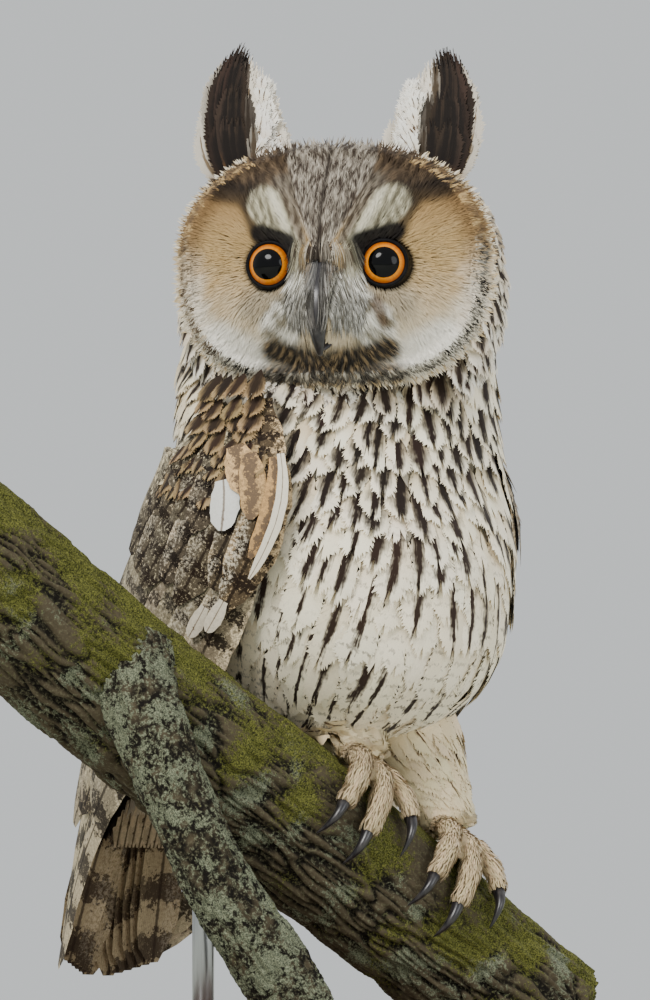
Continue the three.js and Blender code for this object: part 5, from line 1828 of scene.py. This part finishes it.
# %% [markdown]
# ## The branch and its side limb
# The branch is an old one: cracked bark with deep furrows along it, lichen crusts, and
# patches of moss. The furrows are moved into the mesh by noise that is stretched along
# the branch. Its two ends are sawn.

# %% Branch
# Blender's noise vectors start at a place taken from the clock unless a seed is set.
noise.seed_set(7)


def bark_height(places):
    values = []
    for place in places:
        bend = noise.noise_vector(Vector(place * 0.05)) * 0.35
        furrow = abs(noise.noise(Vector((place[0] * 0.35, place[1] * 0.35, place[2] * 0.06)) + bend * 2))
        plates = abs(noise.noise(Vector((place[0] * 0.12, place[1] * 0.12, place[2] * 0.035)) + bend))
        grain = noise.noise(Vector(place * 0.9))
        values.append((furrow, plates, grain))
    return np.array(values)


def slow_noise(places, size, seed):
    return np.array([noise.noise(Vector(p / size + seed)) for p in places])


def branch_form(share, angle):
    ends = np.clip(np.minimum(share, 1 - share) / 0.035, 0, 1)
    along = -BRANCH_UPHILL + (BRANCH_UPHILL + BRANCH_DOWNHILL) * np.clip((share - 0.035) / 0.93, 0, 1)
    lobed = np.stack([along, np.cos(angle) * BRANCH_RADIUS, np.sin(angle) * BRANCH_RADIUS], -1)[:, [1, 2, 0]]
    high = bark_height(lobed)
    away = np.arccos(np.clip(np.cos(angle), -1, 1))
    calm = 1 - 0.85 * hill(along, 40) * smooth((2.0 - away) / 0.8)
    furrows = 2.6 - 7.0 * np.minimum(high[:, 0], 0.35) - 3.0 * np.minimum(high[:, 1], 0.3)
    radius = branch_radius(along, angle) - calm * furrows + 0.3 * high[:, 2] * calm
    return branch_point(along, angle, radius * ends)


mesh = closed(rounded(240, 420, branch_form))
places = mesh_points(mesh)
local = np.stack([(places - BRANCH_MIDDLE) @ way for way in (branch_up, branch_side, BRANCH_WAY)], -1)
radius = np.linalg.norm(local[:, :2], axis=1)
angle = np.arctan2(local[:, 1], local[:, 0])
# Partly painted shade: ridge falls in the furrows' depths, which the bark finish paints near black.
ridge = smooth((radius - branch_radius(local[:, 2], angle) + 3.0) / 4.5)
moss = 0.5 + 0.7 * slow_noise(places, 17, 3.0) + 0.35 * local[:, 0] / BRANCH_RADIUS
lichen = 0.5 + 0.9 * slow_noise(places, 11, 8.0)
paint(mesh, "bark", np.stack([ridge, np.clip(moss, 0, 1), np.clip(lichen, 0, 1)], -1))
finished("perch_branch_bark", mesh, bark_coat, ["perch_branch"])

# %% Side limb
LIMB = np.array([(-44, -72, 180), (-43, -84, 167), (-37, -90, 152), (-31, -92, 136), (-22, -93, 116),
                 (-13, -93, 97), (-2, -92, 80), (9, -89, 63), (17, -87, 49)], float)


def limb_form(share, angle):
    ends = np.clip(np.minimum(share, 1 - share) / 0.04, 0, 1)
    t = np.clip((share - 0.04) / 0.92, 0, 1)
    way = heading(LIMB, t)
    side = unit(np.cross(way, [0, 1, 0]))
    up = unit(np.cross(side, way))
    radius = 13.2 * (1 + 0.25 * hill(t, 0.15)) * (1 + 0.06 * np.sin(9 * t + 2 * angle))
    lobed = np.stack([np.cos(angle) * 13, np.sin(angle) * 13, t * 150 + 400], -1)
    high = bark_height(lobed)
    radius = radius - 1.3 + 3.2 * np.minimum(high[:, 0], 0.4) + 0.5 * high[:, 2]
    radius = (radius * ends)[:, None]
    return line(LIMB, t) + side * np.cos(angle)[:, None] * radius + up * np.sin(angle)[:, None] * radius


mesh = closed(rounded(110, 190, limb_form))
places = mesh_points(mesh)
ridge = 0.4 + 0.5 * slow_noise(places, 3, 1.0)
moss = 0.4 + 0.5 * slow_noise(places, 14, 4.0)
lichen = 0.6 + 0.5 * slow_noise(places, 9, 6.0) - 0.25 * smooth((0.45 - ridge) / 0.3)
paint(mesh, "bark", np.clip(np.stack([ridge, moss, lichen], -1), 0, 1))
finished("perch_limb_bark", mesh, limb_coat, ["perch_limb"])

# %% [markdown]
# ## The display stand
# A turned wooden disc with a moulded edge carries two steel rods that reach up into the
# branch. The disc is a profile spun about the upright axis.

# %% Base and rods
def wood_finish():
    f = Finish("turned wood", 0.38, Coat_Weight=0.25, Coat_Roughness=0.2)
    along = f.node("Mapping", {"Vector": f.flat, "Scale": (18.0, 160.0, 160.0)})[0]
    finer = f.node("Mapping", {"Vector": f.flat, "Scale": (90.0, 1400.0, 1400.0)})[0]
    rings = f.number("TexNoise", {"Vector": along, "Scale": 1.0, "Detail": 5.0, "Roughness": 0.6})
    pores = f.number("TexNoise", {"Vector": finer, "Scale": 1.0})
    colour = f.mix(f.step(rings, 0.3, 0.7), tone("#3a2113"), tone("#6d4325"))
    return f.done(f.shade(colour, pores, 0.2), pores, 0.1, 0.1)


def steel_finish():
    f = Finish("brushed steel", 0.3, Metallic=1.0)
    brushed = f.noise(0.5, 2, (1, 1, 0.02))
    return f.done(f.mix(brushed, tone("#8d8f92"), tone("#b9bbbd")), brushed, 0.05, 0.05)


def spun(profile, steps=128):
    bm = bmesh.new()
    verts = [bm.verts.new((r * MM, 0, z * MM)) for r, z in profile]
    edges = [bm.edges.new(pair) for pair in zip(verts, verts[1:])]
    spin(bm, verts + edges, steps)
    return bm


profile = [(0, 0), (60, 0), (142, 0), (145, 0.8), (146, 2.4), (146, 6.2), (145.2, 7.4), (143.6, 8.0),
           (142.8, 8.8), (142.6, 10.2), (141.6, 12.2), (139.6, 13.5), (137, 14), (120, 14), (60, 14),
           (0, 14)]
wood_coat, steel_coat = wood_finish(), steel_finish()
finished("stand_base_wood", closed(spun(profile)), wood_coat, ["stand_base"])
for k, along in ((1, -76.0), (2, 48.0)):
    foot = BRANCH_MIDDLE + BRANCH_WAY * along
    top = foot[2] - 24
    rod = [(0, 14.3), (4, 14.3), (4, top - 0.5), (3.6, top), (0, top)]
    mesh = closed(spun(rod, 32))
    mesh.transform(Matrix.Translation((foot[0] * MM, foot[1] * MM, 0)))
    finished(f"stand_rod_{k}_steel", mesh, steel_coat, [f"stand_rod_{k}"])

# %% [markdown]
# ## Stage, light and camera
# The floor is plain and pale, and so is the room round it. A large soft light from the
# upper left, a fill and a rim light show the relief of the feathers. The camera stands
# three metres away and looks slightly up, as the photograph does.

# %% Stage
f = Finish("pale floor", 0.9, Specular_IOR_Level=0.1)
bm = bmesh.new()
bmesh.ops.create_circle(bm, cap_ends=True, radius=5.0, segments=96)
floor = bpy.data.objects.new("floor", closed(bm))
bpy.context.scene.collection.objects.link(floor)
floor.data.materials.append(f.done(f.mix(f.noise(60, 2), tone("#c9ccc0"), tone("#ced0c6"))))


def light(name, place, aim, size, power, colour=(1, 1, 1)):
    lamp = bpy.data.lights.new(name, "AREA")
    lamp.shape, lamp.size, lamp.energy, lamp.color = "DISK", size, power, colour
    piece = bpy.data.objects.new(name, lamp)
    piece.location = place
    piece.rotation_euler = (Vector(aim) - Vector(place)).to_track_quat("-Z", "Y").to_euler()
    bpy.context.scene.collection.objects.link(piece)


light("key", (-1.1, -2.0, 1.9), (0.02, 0, 0.25), 1.2, 74, (1.0, 0.98, 0.95))
light("fill", (1.9, -1.8, 0.9), (0.02, 0, 0.25), 1.6, 24, (0.95, 0.98, 1.0))
light("rim", (0.9, 1.2, 1.6), (0.02, 0, 0.3), 0.8, 18)
world = bpy.data.worlds.new("soft room")
bpy.context.scene.world = world
world.use_nodes = True
world.node_tree.nodes["Background"].inputs["Color"].default_value = (0.82, 0.85, 0.86, 1)
world.node_tree.nodes["Background"].inputs["Strength"].default_value = 0.85

lens = bpy.data.cameras.new("camera")
lens.lens, lens.sensor_width, lens.clip_end = 291.9, 36, 20
camera = bpy.data.objects.new("camera", lens)
bpy.context.scene.collection.objects.link(camera)
aim, away, rise = Vector((0.0252, 0, 0.2409)), 3.0, np.radians(-4)
camera.location = aim + Vector((0, -np.cos(rise) * away, np.sin(rise) * away))
camera.rotation_euler = (aim - camera.location).to_track_quat("-Z", "Y").to_euler()
bpy.context.scene.camera = camera
